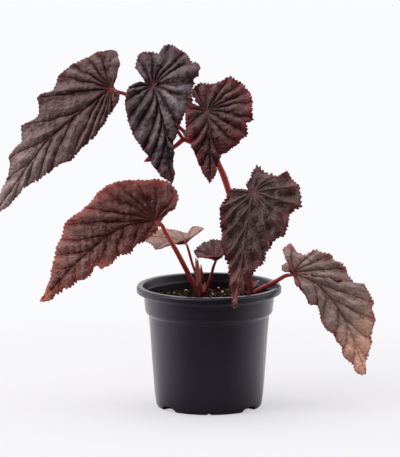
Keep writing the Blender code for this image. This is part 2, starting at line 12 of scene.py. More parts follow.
import bpy
import numpy as np
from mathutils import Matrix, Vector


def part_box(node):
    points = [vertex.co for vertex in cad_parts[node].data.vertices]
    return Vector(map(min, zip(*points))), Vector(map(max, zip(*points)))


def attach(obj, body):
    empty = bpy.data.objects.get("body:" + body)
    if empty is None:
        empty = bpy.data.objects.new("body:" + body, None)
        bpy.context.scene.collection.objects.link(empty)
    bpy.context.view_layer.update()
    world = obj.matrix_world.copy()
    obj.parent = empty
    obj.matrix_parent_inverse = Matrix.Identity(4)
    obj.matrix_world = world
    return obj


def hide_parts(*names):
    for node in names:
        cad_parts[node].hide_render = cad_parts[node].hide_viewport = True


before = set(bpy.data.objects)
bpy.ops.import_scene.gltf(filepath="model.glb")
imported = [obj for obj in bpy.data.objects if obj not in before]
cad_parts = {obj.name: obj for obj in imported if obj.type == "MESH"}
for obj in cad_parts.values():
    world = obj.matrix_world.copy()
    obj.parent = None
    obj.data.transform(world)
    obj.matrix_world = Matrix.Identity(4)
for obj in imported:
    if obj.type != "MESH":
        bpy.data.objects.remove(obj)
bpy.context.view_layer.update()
MM = 0.001

# %% [markdown]
# ## The eye
#
# The photo was taken from far away and about ten degrees above level. We could guess
# a camera and nudge it, but it is safer to fix its geometry once: a target point on the plant,
# a distance, and how many millimetres one pixel covers there. The leaves below were measured in
# exactly this view, so the same numbers turn picture places into real ones.

# %% Camera
VIEW_TILT = math.radians(10.1)
VIEW_DISTANCE = 5.5
VIEW_MIDDLE_X = -7.4 * MM
VIEW_MIDDLE_HEIGHT = 145.0 * MM
PIXEL = 0.822 * MM
IMAGE_HEIGHT = 457
SINE, COSINE = math.sin(VIEW_TILT), math.cos(VIEW_TILT)
MIDDLE_Z = VIEW_MIDDLE_HEIGHT * VIEW_DISTANCE / (VIEW_DISTANCE * COSINE - VIEW_MIDDLE_HEIGHT * SINE)

camera = bpy.data.objects.new("camera", bpy.data.cameras.new("camera"))
bpy.context.scene.collection.objects.link(camera)
bpy.context.scene.camera = camera
camera.location = (VIEW_MIDDLE_X, -VIEW_DISTANCE * COSINE, MIDDLE_Z + VIEW_DISTANCE * SINE)
camera.rotation_euler = (math.pi / 2 - VIEW_TILT, 0.0, 0.0)
camera.data.sensor_width = 36.0
camera.data.lens = 36.0 * VIEW_DISTANCE / (PIXEL * IMAGE_HEIGHT)
camera.data.clip_end = 60.0
bpy.context.scene.view_settings.view_transform = "Standard"
print("lens:", round(camera.data.lens, 1), "mm")

# %% [markdown]
# ## The studio
#
# The plant stands on a white sweep under large soft lights. A sweep can be one big pale disc as
# long as the surroundings are as bright as the disc, so that no horizon shows. The room light
# comes from the world: bright at the sides and above, darker from the camera's side, because a
# black glossy pot shows exactly that as pale edges beside a dark front. Rays from the camera see
# plain white instead.

# %% Node helpers
def put(tree, kind, inputs=None, **settings):
    """Add a node, set its options, and fill its inputs: a socket is linked, the rest are values."""
    made = tree.nodes.new(kind)
    for option, value in settings.items():
        setattr(made, option, value)
    for name, value in (inputs or {}).items():
        if isinstance(value, bpy.types.NodeSocket):
            tree.links.new(value, made.inputs[name])
        else:
            made.inputs[name].default_value = value
    return made


def maths(tree, operation, a, b=0.0, clamp=False):
    """Return the output of a Math node on two numbers or sockets."""
    return put(tree, "ShaderNodeMath", {0: a, 1: b}, operation=operation, use_clamp=clamp).outputs[0]


def mixed(tree, factor, a, b, kind="MIX"):
    """Return colour a turned towards colour b by the factor."""
    node = put(tree, "ShaderNodeMix", {0: factor, 6: a, 7: b}, data_type="RGBA", blend_type=kind)
    return node.outputs[2]


def spread(tree, value, low, high, out_low=0.0, out_high=1.0):
    """Return the value moved from low..high to out_low..out_high with soft ends."""
    inputs = {"Value": value, "From Min": low, "From Max": high, "To Min": out_low, "To Max": out_high}
    return put(tree, "ShaderNodeMapRange", inputs, interpolation_type="SMOOTHSTEP").outputs[0]


def noise(tree, vector, scale, detail=3.0, roughness=0.5):
    """Return the grey value of a noise pattern, about 0.25 to 0.75."""
    inputs = {"Vector": vector, "Scale": scale, "Detail": detail, "Roughness": roughness}
    return put(tree, "ShaderNodeTexNoise", inputs).outputs["Fac"]


def colour(red, green, blue):
    """Return a colour with full opacity."""
    return (red, green, blue, 1.0)


# %% Room light
world = bpy.data.worlds.new("studio")
bpy.context.scene.world = world
world.use_nodes = True
sky = world.node_tree
sky.nodes.clear()
direction = put(sky, "ShaderNodeTexCoord").outputs["Generated"]
axes = put(sky, "ShaderNodeSeparateXYZ", {0: direction})
towards_back = spread(sky, axes.outputs["Y"], -0.85, 0.35, 0.03, 1.25)
towards_back = maths(sky, "SUBTRACT", towards_back, spread(sky, axes.outputs["Y"], 0.60, 0.95, 0.0, 0.25))
overhead = spread(sky, axes.outputs["Z"], 0.2, 0.9, 0.0, 0.15)
room = maths(sky, "ADD", towards_back, overhead)
seen_by_camera = put(sky, "ShaderNodeLightPath").outputs["Is Camera Ray"]
room_light = put(sky, "ShaderNodeBackground", {"Color": colour(1.0, 1.0, 1.0), "Strength": room})
plain_white = put(sky, "ShaderNodeBackground", {"Color": colour(0.960, 0.962, 0.975), "Strength": 1.0})
both = put(sky, "ShaderNodeMixShader", {0: seen_by_camera, 1: room_light.outputs[0], 2: plain_white.outputs[0]})
put(sky, "ShaderNodeOutputWorld", {"Surface": both.outputs[0]})

# %% Soft lights
SOFT_LIGHTS = {
    # name: (place, width, height, power)
    "key_softbox": ((-1.15, -0.70, 1.15), 0.9, 1.1, 18.0),
    "fill_softbox": ((1.15, -0.45, 1.10), 1.0, 1.0, 3.0),
    "top_softbox": ((-0.1, 0.30, 1.6), 1.3, 1.3, 11.0),
}
LIGHT_TARGET = np.array([0.0, 0.0, 0.15])
for light_name, (place, width, height, power) in SOFT_LIGHTS.items():
    lamp = bpy.data.lights.new(light_name, "AREA")
    lamp.shape = "RECTANGLE"
    lamp.size, lamp.size_y, lamp.energy = width, height, power
    box_light = bpy.data.objects.new(light_name, lamp)
    bpy.context.scene.collection.objects.link(box_light)
    away = np.array(place) - LIGHT_TARGET
    flat_distance = math.hypot(away[0], away[1])
    box_light.location = place
    box_light.rotation_euler = (math.atan2(flat_distance, away[2]), 0.0, math.atan2(away[0], -away[1]))
    box_light.visible_camera = False
print("lights:", len(SOFT_LIGHTS))

# %% [markdown]
# ## Surfaces from grids
#
# Almost every piece here is a grid of points: rows along the piece, columns across or around it.
# Blender could loft curves for us, but a grid that we fill with numpy gives full control, works
# on whole arrays at once, and lets one function close every kind of shape.

# %% Grid helpers
def add_piece(name, points, faces, material, replaced=(), values=None, plane=None):
    """Make a smooth mesh object that rides on the plant.

    values is a table of one number per vertex for each named attribute, and plane holds two
    numbers per vertex that become the UV map.
    """
    mesh = bpy.data.meshes.new(name)
    mesh.from_pydata(np.asarray(points, dtype=float).tolist(), [], faces)
    mesh.shade_smooth()
    mesh.set_sharp_from_angle(angle=math.radians(60))
    mesh.materials.append(material)
    for label, numbers in (values or {}).items():
        layer = mesh.attributes.new(label, "FLOAT", "POINT")
        layer.data.foreach_set("value", np.asarray(numbers, dtype=np.float32))
    if plane is not None:
        corners = np.zeros(len(mesh.loops), dtype=np.int32)
        mesh.loops.foreach_get("vertex_index", corners)
        layer = mesh.uv_layers.new(name="plane")
        layer.data.foreach_set("uv", np.asarray(plane, dtype=np.float32)[corners].ravel())
    piece = bpy.data.objects.new(name, mesh)
    bpy.context.scene.collection.objects.link(piece)
    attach(piece, "root")
    if replaced:
        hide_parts(*replaced)
    return piece


def tube_faces(rows, columns):
    """Return faces for a closed tube of rows, with the two pole points after the grid.

    Row r, column c is point r * columns + c; the first row is capped by the point after the
    grid and the last row by the next one.
    """
    row, column = np.meshgrid(np.arange(rows - 1), np.arange(columns), indexing="ij")
    here = (row * columns + column).ravel()
    beside = (row * columns + (column + 1) % columns).ravel()
    walls = np.stack([here, beside, beside + columns, here + columns], axis=1)
    ring = np.arange(columns)
    following = (ring + 1) % columns
    last = (rows - 1) * columns
    first_pole, last_pole = rows * columns, rows * columns + 1
    start = np.stack([following, ring, np.full(columns, first_pole)], axis=1)
    end = np.stack([last + ring, last + following, np.full(columns, last_pole)], axis=1)
    return walls.tolist() + start.tolist() + end.tolist()


def smooth_line(points, steps):
    """Read a Catmull-Rom curve through the points, with the given steps between each two."""
    points = np.asarray(points, dtype=float)
    padded = np.vstack([2 * points[0] - points[1], points, 2 * points[-1] - points[-2]])
    before, start, end, after = padded[:-3, None], padded[1:-2, None], padded[2:-1, None], padded[3:, None]
    t = np.linspace(0.0, 1.0, steps, endpoint=False)[None, :, None]
    curve = 0.5 * (2 * start + (end - before) * t
                   + (2 * before - 5 * start + 4 * end - after) * t ** 2
                   + (3 * start - before - 3 * end + after) * t ** 3)
    return np.vstack([curve.reshape(-1, points.shape[1]), points[-1:]])


def travelled(line):
    """Return the distance from the start of a line to each of its points."""
    return np.concatenate([[0.0], np.cumsum(np.linalg.norm(np.diff(line, axis=0), axis=1))])


def at_fractions(line, fractions):
    """Return the points at the given fractions of a line's length."""
    distance = travelled(line)
    wanted = np.asarray(fractions) * distance[-1]
    return np.stack([np.interp(wanted, distance, axis) for axis in line.T], axis=1)


def real_points(places):
    """Turn front-view places (x, height, y) in millimetres into points in metres.

    The eye looks at the view's middle along a line tilted down by VIEW_TILT. A point nearer
    than that middle is seen larger, so its offset shrinks by 1 - nearer / distance, where
    nearer follows from the real depth y.
    """
    x, height, y = np.moveaxis(np.asarray(places, dtype=float)[..., :3] * MM, -1, 0)
    across = x - VIEW_MIDDLE_X
    upward = height - VIEW_MIDDLE_HEIGHT
    nearer = (upward * SINE - y) / (COSINE + upward * SINE / VIEW_DISTANCE)
    scale = 1.0 - nearer / VIEW_DISTANCE
    return np.stack([
        VIEW_MIDDLE_X + across * scale,
        y,
        MIDDLE_Z + upward * scale * COSINE + nearer * SINE,
    ], axis=-1)


def scatter(a, b, seed):
    """Return a steady pseudo-random number from 0 to 1 for each pair of whole numbers."""
    return np.modf(np.abs(np.sin(a * 127.1 + b * 311.7 + seed * 74.7) * 43758.5453))[0]


def cells(plane, size, seed):
    """Return how far each place is inside its cell: 0 on the border between two cells.

    One point is thrown into each square of a grid, and the result is the distance to the
    second nearest point less the distance to the nearest, in units of size.
    """
    place = plane / size
    square = np.floor(place)
    distances = []
    for shift_x in (-1, 0, 1):
        for shift_y in (-1, 0, 1):
            corner = square + (shift_x, shift_y)
            point = corner + np.stack([scatter(corner[..., 0], corner[..., 1], seed),
                                       scatter(corner[..., 0], corner[..., 1], seed + 1)], axis=-1)
            distances.append(np.linalg.norm(place - point, axis=-1))
    nearest = np.sort(np.stack(distances), axis=0)
    return nearest[1] - nearest[0]


def spots(plane, places):
    """Return the sum of soft round spots (x, height, radius, amount), each falling off as a bell curve."""
    total = np.zeros(plane.shape[:-1])
    for x, height, radius, amount in places:
        total += amount * np.exp(-((plane - (x, height)) ** 2).sum(axis=-1) / radius ** 2)
    return total


def ripples(plane, wavelength, seed, waves=5):
    """Return a smooth random field, about -1 to 1: the sum of a few sine waves in random directions."""
    order = np.arange(waves)
    angle = 2 * math.pi * scatter(order, 0 * order, seed)
    length = wavelength * (0.7 + 0.8 * scatter(order, 0 * order + 1, seed))
    phase = 2 * math.pi * scatter(order, 0 * order + 2, seed)
    across = plane[..., 0, None] * np.cos(angle) + plane[..., 1, None] * np.sin(angle)
    return np.sin(2 * math.pi * across / length + phase).sum(axis=-1) / math.sqrt(waves)

# %% [markdown]
# ## The nursery pot
#
# The real pot is one thin moulded cup: a foot with low drain arches, a tapering body, a soft
# step out to a collar, and a flat rim with a turned-down lip. It is a solid of revolution, so a
# profile of (radius, height) carried round the axis makes it, rounded by reading a smooth curve
# through the profile's corners. The arches are cut with Boolean modifiers, which are then applied.

# %% Pot profile
POT_COLUMNS = 192
POT_OUTSIDE = [
    (30.0, 0.0), (36.0, 0.0), (39.2, 0.0), (40.8, 0.0), (41.7, 0.02), (42.4, 0.35), (42.9, 1.0),
    (43.4, 2.2), (43.8, 3.8), (44.1, 6.4), (44.4, 8.6), (45.0, 14.0), (46.4, 32.0), (48.0, 55.0),
    (49.0, 68.0), (49.5, 73.4), (49.7, 75.6), (50.2, 76.8), (51.3, 77.9), (52.1, 78.9), (52.5, 80.1),
    (52.7, 82.2), (53.2, 86.5), (53.8, 91.4), (54.3, 93.2), (54.9, 94.0), (55.2, 95.3), (55.2, 97.8),
    (55.6, 98.6), (57.0, 98.7), (58.0, 98.2), (58.3, 97.0), (58.3, 95.6), (58.6, 95.0), (59.1, 95.0),
    (59.5, 95.4), (59.6, 96.4), (59.6, 98.6), (59.4, 99.2), (58.9, 99.5), (58.7, 99.8), (58.8, 100.1),
    (58.7, 100.5), (58.3, 100.7), (57.6, 100.7), (56.0, 100.65), (55.0, 100.5), (54.55, 99.9),
    (54.0, 97.6), (53.3, 94.8), (52.8, 93.6), (52.6, 92.0), (51.9, 86.0), (51.4, 81.0), (51.0, 79.3),
    (50.0, 78.1), (49.1, 77.1), (48.7, 75.8), (48.4, 73.2), (48.0, 68.0), (46.8, 55.0), (45.1, 32.0),
    (43.7, 13.0), (43.0, 7.4), (42.4, 4.0), (41.4, 2.2), (39.8, 1.4), (37.0, 1.2), (30.0, 1.2),
]
DRAIN_ARCHES = [(-51.5, 8.5, 4.2), (51.5, 8.5, 4.2), (-128.5, 8.5, 4.2), (128.5, 8.5, 4.2), (0.0, 1.6, 1.2)]
ARCH_INNER_RADIUS = 34.0


def turned_grid(profile, columns):
    """Carry a (radius, z) profile round +Z: x = r sin a, y = -r cos a. Returns the points."""
    angle = np.arange(columns) * 2 * math.pi / columns
    radius, z = np.asarray(profile, dtype=float).T[:, :, None]
    return np.stack([radius * np.sin(angle), -radius * np.cos(angle), z + 0 * angle], axis=-1)


def close_tube(grid):
    """Return a grid's points with the middle of its first and last row added as poles."""
    return np.vstack([grid.reshape(-1, 3), grid[0].mean(axis=0), grid[-1].mean(axis=0)])


# %% Shared finish: moulding grain
def new_group(name, inputs, outputs):
    """Make an empty shader node group with the named sockets, and return it with its ends."""
    group = bpy.data.node_groups.new(name, "ShaderNodeTree")
    for label, kind in inputs.items():
        group.interface.new_socket(name=label, in_out="INPUT", socket_type="NodeSocket" + kind)
    for label, kind in outputs.items():
        group.interface.new_socket(name=label, in_out="OUTPUT", socket_type="NodeSocket" + kind)
    start = group.nodes.new("NodeGroupInput").outputs
    end = group.nodes.new("NodeGroupOutput").inputs
    return group, start, end


def use_group(tree, group, inputs):
    """Place a node group in a material with the given inputs, and return its outputs."""
    node = put(tree, "ShaderNodeGroup", node_tree=group)
    for name, value in inputs.items():
        if isinstance(value, bpy.types.NodeSocket):
            tree.links.new(value, node.inputs[name])
        else:
            node.inputs[name].default_value = value
    return node.outputs


def new_material(name):
    """Make a material and return it with its node tree and its Principled shader."""
    material = bpy.data.materials.new(name)
    material.use_nodes = True
    return material, material.node_tree, material.node_tree.nodes["Principled BSDF"]


def join(tree, shader, base, roughness=None, height=None, distance=0.1 * MM, strength=1.0):
    """Link colour, roughness and bump height to a Principled shader."""
    tree.links.new(base, shader.inputs["Base Color"])
    if roughness is not None:
        tree.links.new(roughness, shader.inputs["Roughness"])
    if height is not None:
        bump = put(tree, "ShaderNodeBump", {"Height": height, "Distance": distance, "Strength": strength})
        tree.links.new(bump.outputs[0], shader.inputs["Normal"])


# %% Black plastic
pot_material, tree, shader = new_material("black_plastic")
place = put(tree, "ShaderNodeTexCoord").outputs["Object"]
wide = noise(tree, place, 26.0, 4.0)
fine = noise(tree, place, 1400.0, 2.0)
stretched = put(tree, "ShaderNodeMapping", {"Vector": place, "Scale": (1.0, 1.0, 0.03)}).outputs[0]
streak = noise(tree, stretched, 420.0, 3.0)
dust = spread(tree, noise(tree, place, 900.0, 5.0, 0.7), 0.66, 0.74)
base = mixed(tree, spread(tree, wide, 0.3, 0.7), colour(0.0085, 0.0073, 0.0108), colour(0.0120, 0.0103, 0.0150))
base = mixed(tree, maths(tree, "MULTIPLY", dust, 0.15), base, colour(0.06, 0.052, 0.055))
rough = maths(tree, "ADD", spread(tree, wide, 0.3, 0.7, 0.30, 0.38), spread(tree, streak, 0.3, 0.7, -0.03, 0.04))
worn = spread(tree, put(tree, "ShaderNodeSeparateXYZ", {0: place}).outputs["Z"], 0.0994, 0.1002)
rough = maths(tree, "SUBTRACT", rough, maths(tree, "MULTIPLY", worn, 0.12))
height = maths(tree, "ADD", maths(tree, "MULTIPLY", fine, 0.5), streak)
join(tree, shader, base, rough, height, distance=0.03 * MM, strength=0.6)
shader.inputs["Specular Tint"].default_value = colour(0.88, 0.80, 1.0)

# %% Make the pot
pot_grid = turned_grid(smooth_line(POT_OUTSIDE, 3), POT_COLUMNS) * MM
pot_points = close_tube(pot_grid)
pot = add_piece("pot", pot_points, tube_faces(len(pot_grid), POT_COLUMNS), pot_material,
                ["nursery_pot"])


def arch_cutter(degrees, half_width, height):
    """Make an elliptical bar that runs outwards from ARCH_INNER_RADIUS under the foot."""
    angle = math.radians(degrees)
    outward = np.array([math.sin(angle), -math.cos(angle), 0.0])
    across = np.array([math.cos(angle), math.sin(angle), 0.0])
    turn = (np.arange(40) + 0.5) * 2 * math.pi / 40
    ring = across * (half_width * np.cos(turn))[:, None] + np.array([0, 0, 1.0]) * (height * np.sin(turn))[:, None]
    grid = np.stack([outward * ARCH_INNER_RADIUS + ring, outward * 70.0 + ring]) * MM
    mesh = bpy.data.meshes.new("arch")
    mesh.from_pydata(close_tube(grid).tolist(), [], tube_faces(2, 40))
    cutter = bpy.data.objects.new("arch", mesh)
    bpy.context.scene.collection.objects.link(cutter)
    return cutter


def cut_and_apply(piece, cutters):
    """Take the cutters out of a piece, keep the resulting mesh, and remove the cutters."""
    for cutter in cutters:
        modifier = piece.modifiers.new("cut", "BOOLEAN")
        modifier.object = cutter
        modifier.solver = "EXACT"
    bpy.context.view_layer.update()
    graph = bpy.context.evaluated_depsgraph_get()
    result = bpy.data.meshes.new_from_object(piece.evaluated_get(graph))
    piece.modifiers.clear()
    piece.data = result
    for cutter in cutters:
        bpy.data.objects.remove(cutter, do_unlink=True)


cut_and_apply(pot, [arch_cutter(*arch) for arch in DRAIN_ARCHES])
pot.data.set_sharp_from_angle(angle=math.radians(35))
print("pot faces:", len(pot.data.polygons))

# %% [markdown]
# ## The potting soil
#
# Potting soil is dark, crumbly and uneven, with bark, fibres and a few pale grains. Its top is a
# height field on rings round the axis; small loose crumbs are copies of one rough lump with few
# faces each, scattered over it. The soil meets the pot's inner wall, so its outline is the same
# profile with a hair's gap.

# %% Soil surface
SOIL_COLUMNS = 168
SOIL_RINGS = 84
SOIL_RADIUS = 51.4
SOIL_OUTSIDE = [(39.6, 1.7), (42.0, 4.6), (43.0, 12.0), (48.1, 74.8), (50.8, 80.9), (51.4, 86.4)]
STEM_FOOT_PLACES = [(-6.5, 3.0, 6.0), (35.0, 2.0, 4.0)]


def soil_height(x, y):
    """Return the soil's height at a place: a low heap, lumps of three sizes, and small mounds
    where the stems come out."""
    plane = np.stack([x, y], axis=-1)
    radius = np.hypot(x, y)
    height = 89.5 - 1.1 * (radius / SOIL_RADIUS) ** 2
    height += 0.55 * ripples(plane, 17.0, 3) + 0.35 * ripples(plane, 7.0, 5)
    height += 0.9 * np.clip(cells(plane, 4.2, 11), 0, 0.6) + 0.45 * np.clip(cells(plane, 1.9, 21), 0, 0.5)
    for foot_x, foot_y, reach in STEM_FOOT_PLACES:
        height += 1.2 * np.exp(-((x - foot_x) ** 2 + (y - foot_y) ** 2) / reach ** 2)
    return height - 0.8


soil_angle = np.arange(SOIL_COLUMNS) * 2 * math.pi / SOIL_COLUMNS
soil_radius = np.linspace(SOIL_RADIUS - 0.2, 0.5, SOIL_RINGS)[:, None]
soil_x, soil_y = soil_radius * np.sin(soil_angle), -soil_radius * np.cos(soil_angle)
soil_top = np.stack([soil_x, soil_y, soil_height(soil_x, soil_y)], axis=-1)
soil_side = turned_grid(SOIL_OUTSIDE, SOIL_COLUMNS)
soil_grid = np.concatenate([soil_side, soil_top]) * MM

# %% Soil finish
soil_material, tree, shader = new_material("soil")
place = put(tree, "ShaderNodeTexCoord").outputs["Object"]
broad = noise(tree, place, 120.0, 6.0, 0.65)
fine = noise(tree, place, 900.0, 6.0, 0.7)
flecks = put(tree, "ShaderNodeTexVoronoi", {"Vector": place, "Scale": 520.0})
pale = spread(tree, put(tree, "ShaderNodeSeparateColor", {0: flecks.outputs["Color"]}).outputs[0], 0.90, 0.97)
fibre_place = put(tree, "ShaderNodeMapping", {"Vector": place, "Scale": (1.0, 0.12, 1.0), "Rotation": (0, 0, 0.6)})
fibre = spread(tree, noise(tree, fibre_place.outputs[0], 700.0, 2.0), 0.62, 0.70)
base = mixed(tree, spread(tree, broad, 0.35, 0.65), colour(0.0032, 0.0016, 0.0010), colour(0.022, 0.0098, 0.0046))
base = mixed(tree, maths(tree, "MULTIPLY", fibre, 0.6), base, colour(0.10, 0.045, 0.014))
base = mixed(tree, maths(tree, "MULTIPLY", pale, 0.8), base, colour(0.26, 0.15, 0.06))
join(tree, shader, base, spread(tree, fine, 0.3, 0.7, 0.75, 0.98),
     maths(tree, "ADD", fine, maths(tree, "MULTIPLY", broad, 2.0)), distance=0.5 * MM)
shader.inputs["Specular IOR Level"].default_value = 0.05
soil = add_piece("soil", close_tube(soil_grid), tube_faces(len(soil_grid), SOIL_COLUMNS),
                 soil_material, ["potting_soil"])
print("soil rows:", len(soil_grid))

# %% Crumbs of bark and soil
LUMP_ROWS, LUMP_COLUMNS = 5, 7
CRUMBS = 420


def lumps(places, sizes, seed, rows=LUMP_ROWS, columns=LUMP_COLUMNS, dent=0.25):
    """Return points and faces for many rough lumps at once.

    Each lump is a small globe of rows and columns whose radius is changed by a random share,
    stretched by its own three sizes and turned by a random angle about +Z.
    """
    count = len(places)
    lean = np.linspace(0.16, math.pi - 0.16, rows)[None, :, None]
    turn = (np.arange(columns) * 2 * math.pi / columns)[None, None, :]
    number = np.arange(count)[:, None, None]
    grain = number * 97 + np.arange(rows)[None, :, None] * 13
    radius = 1 + dent * (scatter(grain, np.arange(columns)[None, None, :] * 7, seed) - 0.5) * 2
    globe = np.stack([np.sin(lean) * np.cos(turn) * radius, np.sin(lean) * np.sin(turn) * radius,
                      np.cos(lean) * radius], axis=-1) * sizes[:, None, None, :]
    angle = (2 * math.pi * scatter(np.arange(count), np.arange(count) * 0, seed + 3))[:, None, None]
    turned = np.stack([globe[..., 0] * np.cos(angle) - globe[..., 1] * np.sin(angle),
                       globe[..., 0] * np.sin(angle) + globe[..., 1] * np.cos(angle), globe[..., 2]], axis=-1)
    points = turned.reshape(count, -1, 3)
    poles = np.stack([turned[:, 0].mean(axis=1), turned[:, -1].mean(axis=1)], axis=1)
    points = np.concatenate([points, poles], axis=1) + np.asarray(places)[:, None, :]
    one = tube_faces(rows, columns)
    size = points.shape[1]
    faces = [[size * lump + corner for corner in reversed(face)] for lump in range(count) for face in one]
    return points.reshape(-1, 3), faces


order = np.arange(CRUMBS)
crumb_radius = 49.5 * np.sqrt(scatter(order, order * 0, 31))
crumb_angle = 2 * math.pi * scatter(order, order * 0 + 1, 31)
crumb_x, crumb_y = crumb_radius * np.sin(crumb_angle), crumb_radius * np.cos(crumb_angle)
crumb_size = 0.5 + 1.3 * scatter(order, order * 0 + 2, 31) ** 3
crumb_sizes = crumb_size[:, None] * np.stack([1.0 + 1.2 * scatter(order, order * 0 + 3, 31),
                                              0.7 + 0.4 * scatter(order, order * 0 + 4, 31),
                                              0.55 + 0.2 * scatter(order, order * 0 + 5, 31)], axis=1)
crumb_places = np.stack([crumb_x, crumb_y, soil_height(crumb_x, crumb_y) + 0.2 * crumb_size], axis=1)
crumb_points, crumb_faces = lumps(crumb_places, crumb_sizes, 41)
add_piece("soil_crumbs", crumb_points * MM, crumb_faces, soil_material)
print("crumbs:", CRUMBS)

# %% [markdown]
# ## Pale grains
#
# A few light grains of the potting mix lie on the soil and catch the eye in the photo. Each one
# is its own rounded lump. A stone-like finish needs only a mottled pale colour and a fine bump.

# %% Grains
GRAINS = [(-19, 32, 1.3), (3, 13, 1.2), (11, 22, 1.4), (8, 44, 1.1), (-29, 22, 1.0), (22, 27, 1.1)]
grain_material, tree, shader = new_material("grain")
place = put(tree, "ShaderNodeTexCoord").outputs["Object"]
mottle = noise(tree, place, 1100.0, 4.0)
base = mixed(tree, spread(tree, mottle, 0.35, 0.65), colour(0.62, 0.56, 0.46), colour(0.30, 0.22, 0.15))
join(tree, shader, base, spread(tree, mottle, 0.3, 0.7, 0.6, 0.9), mottle, distance=0.2 * MM)
for number, (x, y, radius) in enumerate(GRAINS, start=1):
    low, high = (np.array(corner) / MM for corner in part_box(f"soil_grain_{number}"))
    middle = (low + high) / 2
    size = (high - low) / 2 * (1.04, 0.94, 1.0)
    grain_points, grain_faces = lumps(middle[None], size[None], 50 + number, 9, 14, 0.08)
    add_piece(f"pale_grain_{number}", grain_points * MM, grain_faces, grain_material,
              [f"soil_grain_{number}"])

# %% [markdown]
# ## Stems and stalks
#
# The cane, the short crown and the leaf stalks are all round stems that taper and bend. A stem
# is a circle carried along a curve: at each point we need two directions square to the curve.
# These stems never run straight towards the camera, so one fixed helper direction (+Y) is enough:
# the first direction is the tangent crossed with it, the second is square to both.

# %% Round stems
def stem_frames(line):
    """Return two unit vectors square to the line at each point: tangent x Y, and that x tangent."""
    tangent = np.gradient(line, axis=0)
    tangent /= np.linalg.norm(tangent, axis=1)[:, None]
    side = np.cross(tangent, (0.0, 1.0, 0.0))
    side /= np.linalg.norm(side, axis=1)[:, None]
    return side, np.cross(side, tangent)


def stem_piece(name, line, radii, material, replaced, columns=28, ripple=0.03, values=None):
    """Carry a slightly uneven circle along a line in metres and close its ends.

    The radius is changed by ripple times a slow wave along the stem and round it, which gives
    the faint lengthwise ridges of a fleshy stem.
    """
    side, front = stem_frames(line)
    angle = np.arange(columns) * 2 * math.pi / columns
    along = travelled(line) / MM
    wave = 1 + ripple * (0.6 * np.sin(3 * angle + along[:, None] / 9.0) + 0.4 * np.sin(5 * angle - along[:, None] / 15.0))
    reach = radii[:, None] * wave
    grid = (line[:, None] + side[:, None] * (reach * np.cos(angle))[..., None]
            + front[:, None] * (reach * np.sin(angle))[..., None])
    share = along / along[-1]
    table = {"along": share, **(values or {})}
    table = {label: np.concatenate([np.repeat(numbers, columns), numbers[[0, -1]]])
             for label, numbers in table.items()}
    around = np.concatenate([np.tile(np.arange(columns) / columns, len(line)), [0, 0]])
    lengthwise = np.concatenate([np.repeat(along / 10.0, columns), [0, along[-1] / 10.0]])
    return add_piece(name, close_tube(grid), tube_faces(len(grid), columns), material, replaced,
                     values=table, plane=np.stack([around, lengthwise], axis=1))


# %% Shared finish: fleshy stem
stem_group, start, end = new_group(
    "stem_finish",
    {"Place": "Vector", "Along": "Float", "Scar": "Float", "Low": "Color", "High": "Color"},
    {"Color": "Color", "Roughness": "Float", "Height": "Float"})
stretch = put(stem_group, "ShaderNodeMapping", {"Vector": start["Place"], "Scale": (1.0, 1.0, 0.12)}).outputs[0]
fibres = noise(stem_group, stretch, 1500.0, 3.0)
cloud = noise(stem_group, start["Place"], 130.0, 4.0)
speck = put(stem_group, "ShaderNodeTexVoronoi", {"Vector": stretch, "Scale": 420.0})
speck_pick = put(stem_group, "ShaderNodeSeparateColor", {0: speck.outputs["Color"]}).outputs[0]
speck_mask = maths(stem_group, "MULTIPLY", spread(stem_group, speck.outputs["Distance"], 0.34, 0.20),
                   spread(stem_group, speck_pick, 0.66, 0.70))
tone = mixed(stem_group, start["Along"], start["Low"], start["High"])
tone = mixed(stem_group, spread(stem_group, cloud, 0.40, 0.7, 0.0, 0.30), tone, colour(0.060, 0.004, 0.008))
tone = mixed(stem_group, spread(stem_group, fibres, 0.4, 0.7, 0.0, 0.28), tone, colour(0.42, 0.06, 0.05))
tone = mixed(stem_group, maths(stem_group, "MULTIPLY", speck_mask, 0.45), tone, colour(0.55, 0.20, 0.15))
tone = mixed(stem_group, start["Scar"], tone, colour(0.10, 0.045, 0.03))
stem_group.links.new(tone, end["Color"])
stem_group.links.new(spread(stem_group, cloud, 0.3, 0.7, 0.30, 0.44), end["Roughness"])
stem_group.links.new(maths(stem_group, "ADD", fibres, speck_mask), end["Height"])


def stem_material(name, low, high):
    """Make a fleshy stem material that changes from the low colour to the high one."""
    material, tree, shader = new_material(name)
    place = put(tree, "ShaderNodeTexCoord").outputs["Object"]
    along = put(tree, "ShaderNodeAttribute", attribute_name="along").outputs["Fac"]
    scar = put(tree, "ShaderNodeAttribute", attribute_name="scar").outputs["Fac"]
    out = use_group(tree, stem_group, {"Place": place, "Along": along, "Scar": scar, "Low": low, "High": high})
    join(tree, shader, out["Color"], out["Roughness"], out["Height"], distance=0.06 * MM, strength=0.7)
    shader.inputs["Specular IOR Level"].default_value = 0.35
    return material


# %% The cane and its nodes
CANE = [
    (33, 70, 6, 1.4), (34.5, 82, 4, 2.2), (34.4, 91, 2, 2.4), (33, 103, 2, 2.3),
    (28, 127, 3, 2.4), (24.8, 141, 4, 2.9), (22.2, 152, 5, 2.5), (17.3, 171, 6, 2.5),
    (12.9, 186, 7, 2.7), (7.4, 199, 8, 2.4), (2.4, 210, 9, 2.8), (-4, 216.8, 10, 2.3),
    (-15, 216.6, 10, 2.2), (-21, 218, 9, 2.2), (-29, 212, 6, 1.8), (-47, 203, -1, 1.6),
]
CANE_NODES = [(35, 93), (24.5, 141), (12.5, 186), (2, 210), (-17, 217.5), (-29, 212)]


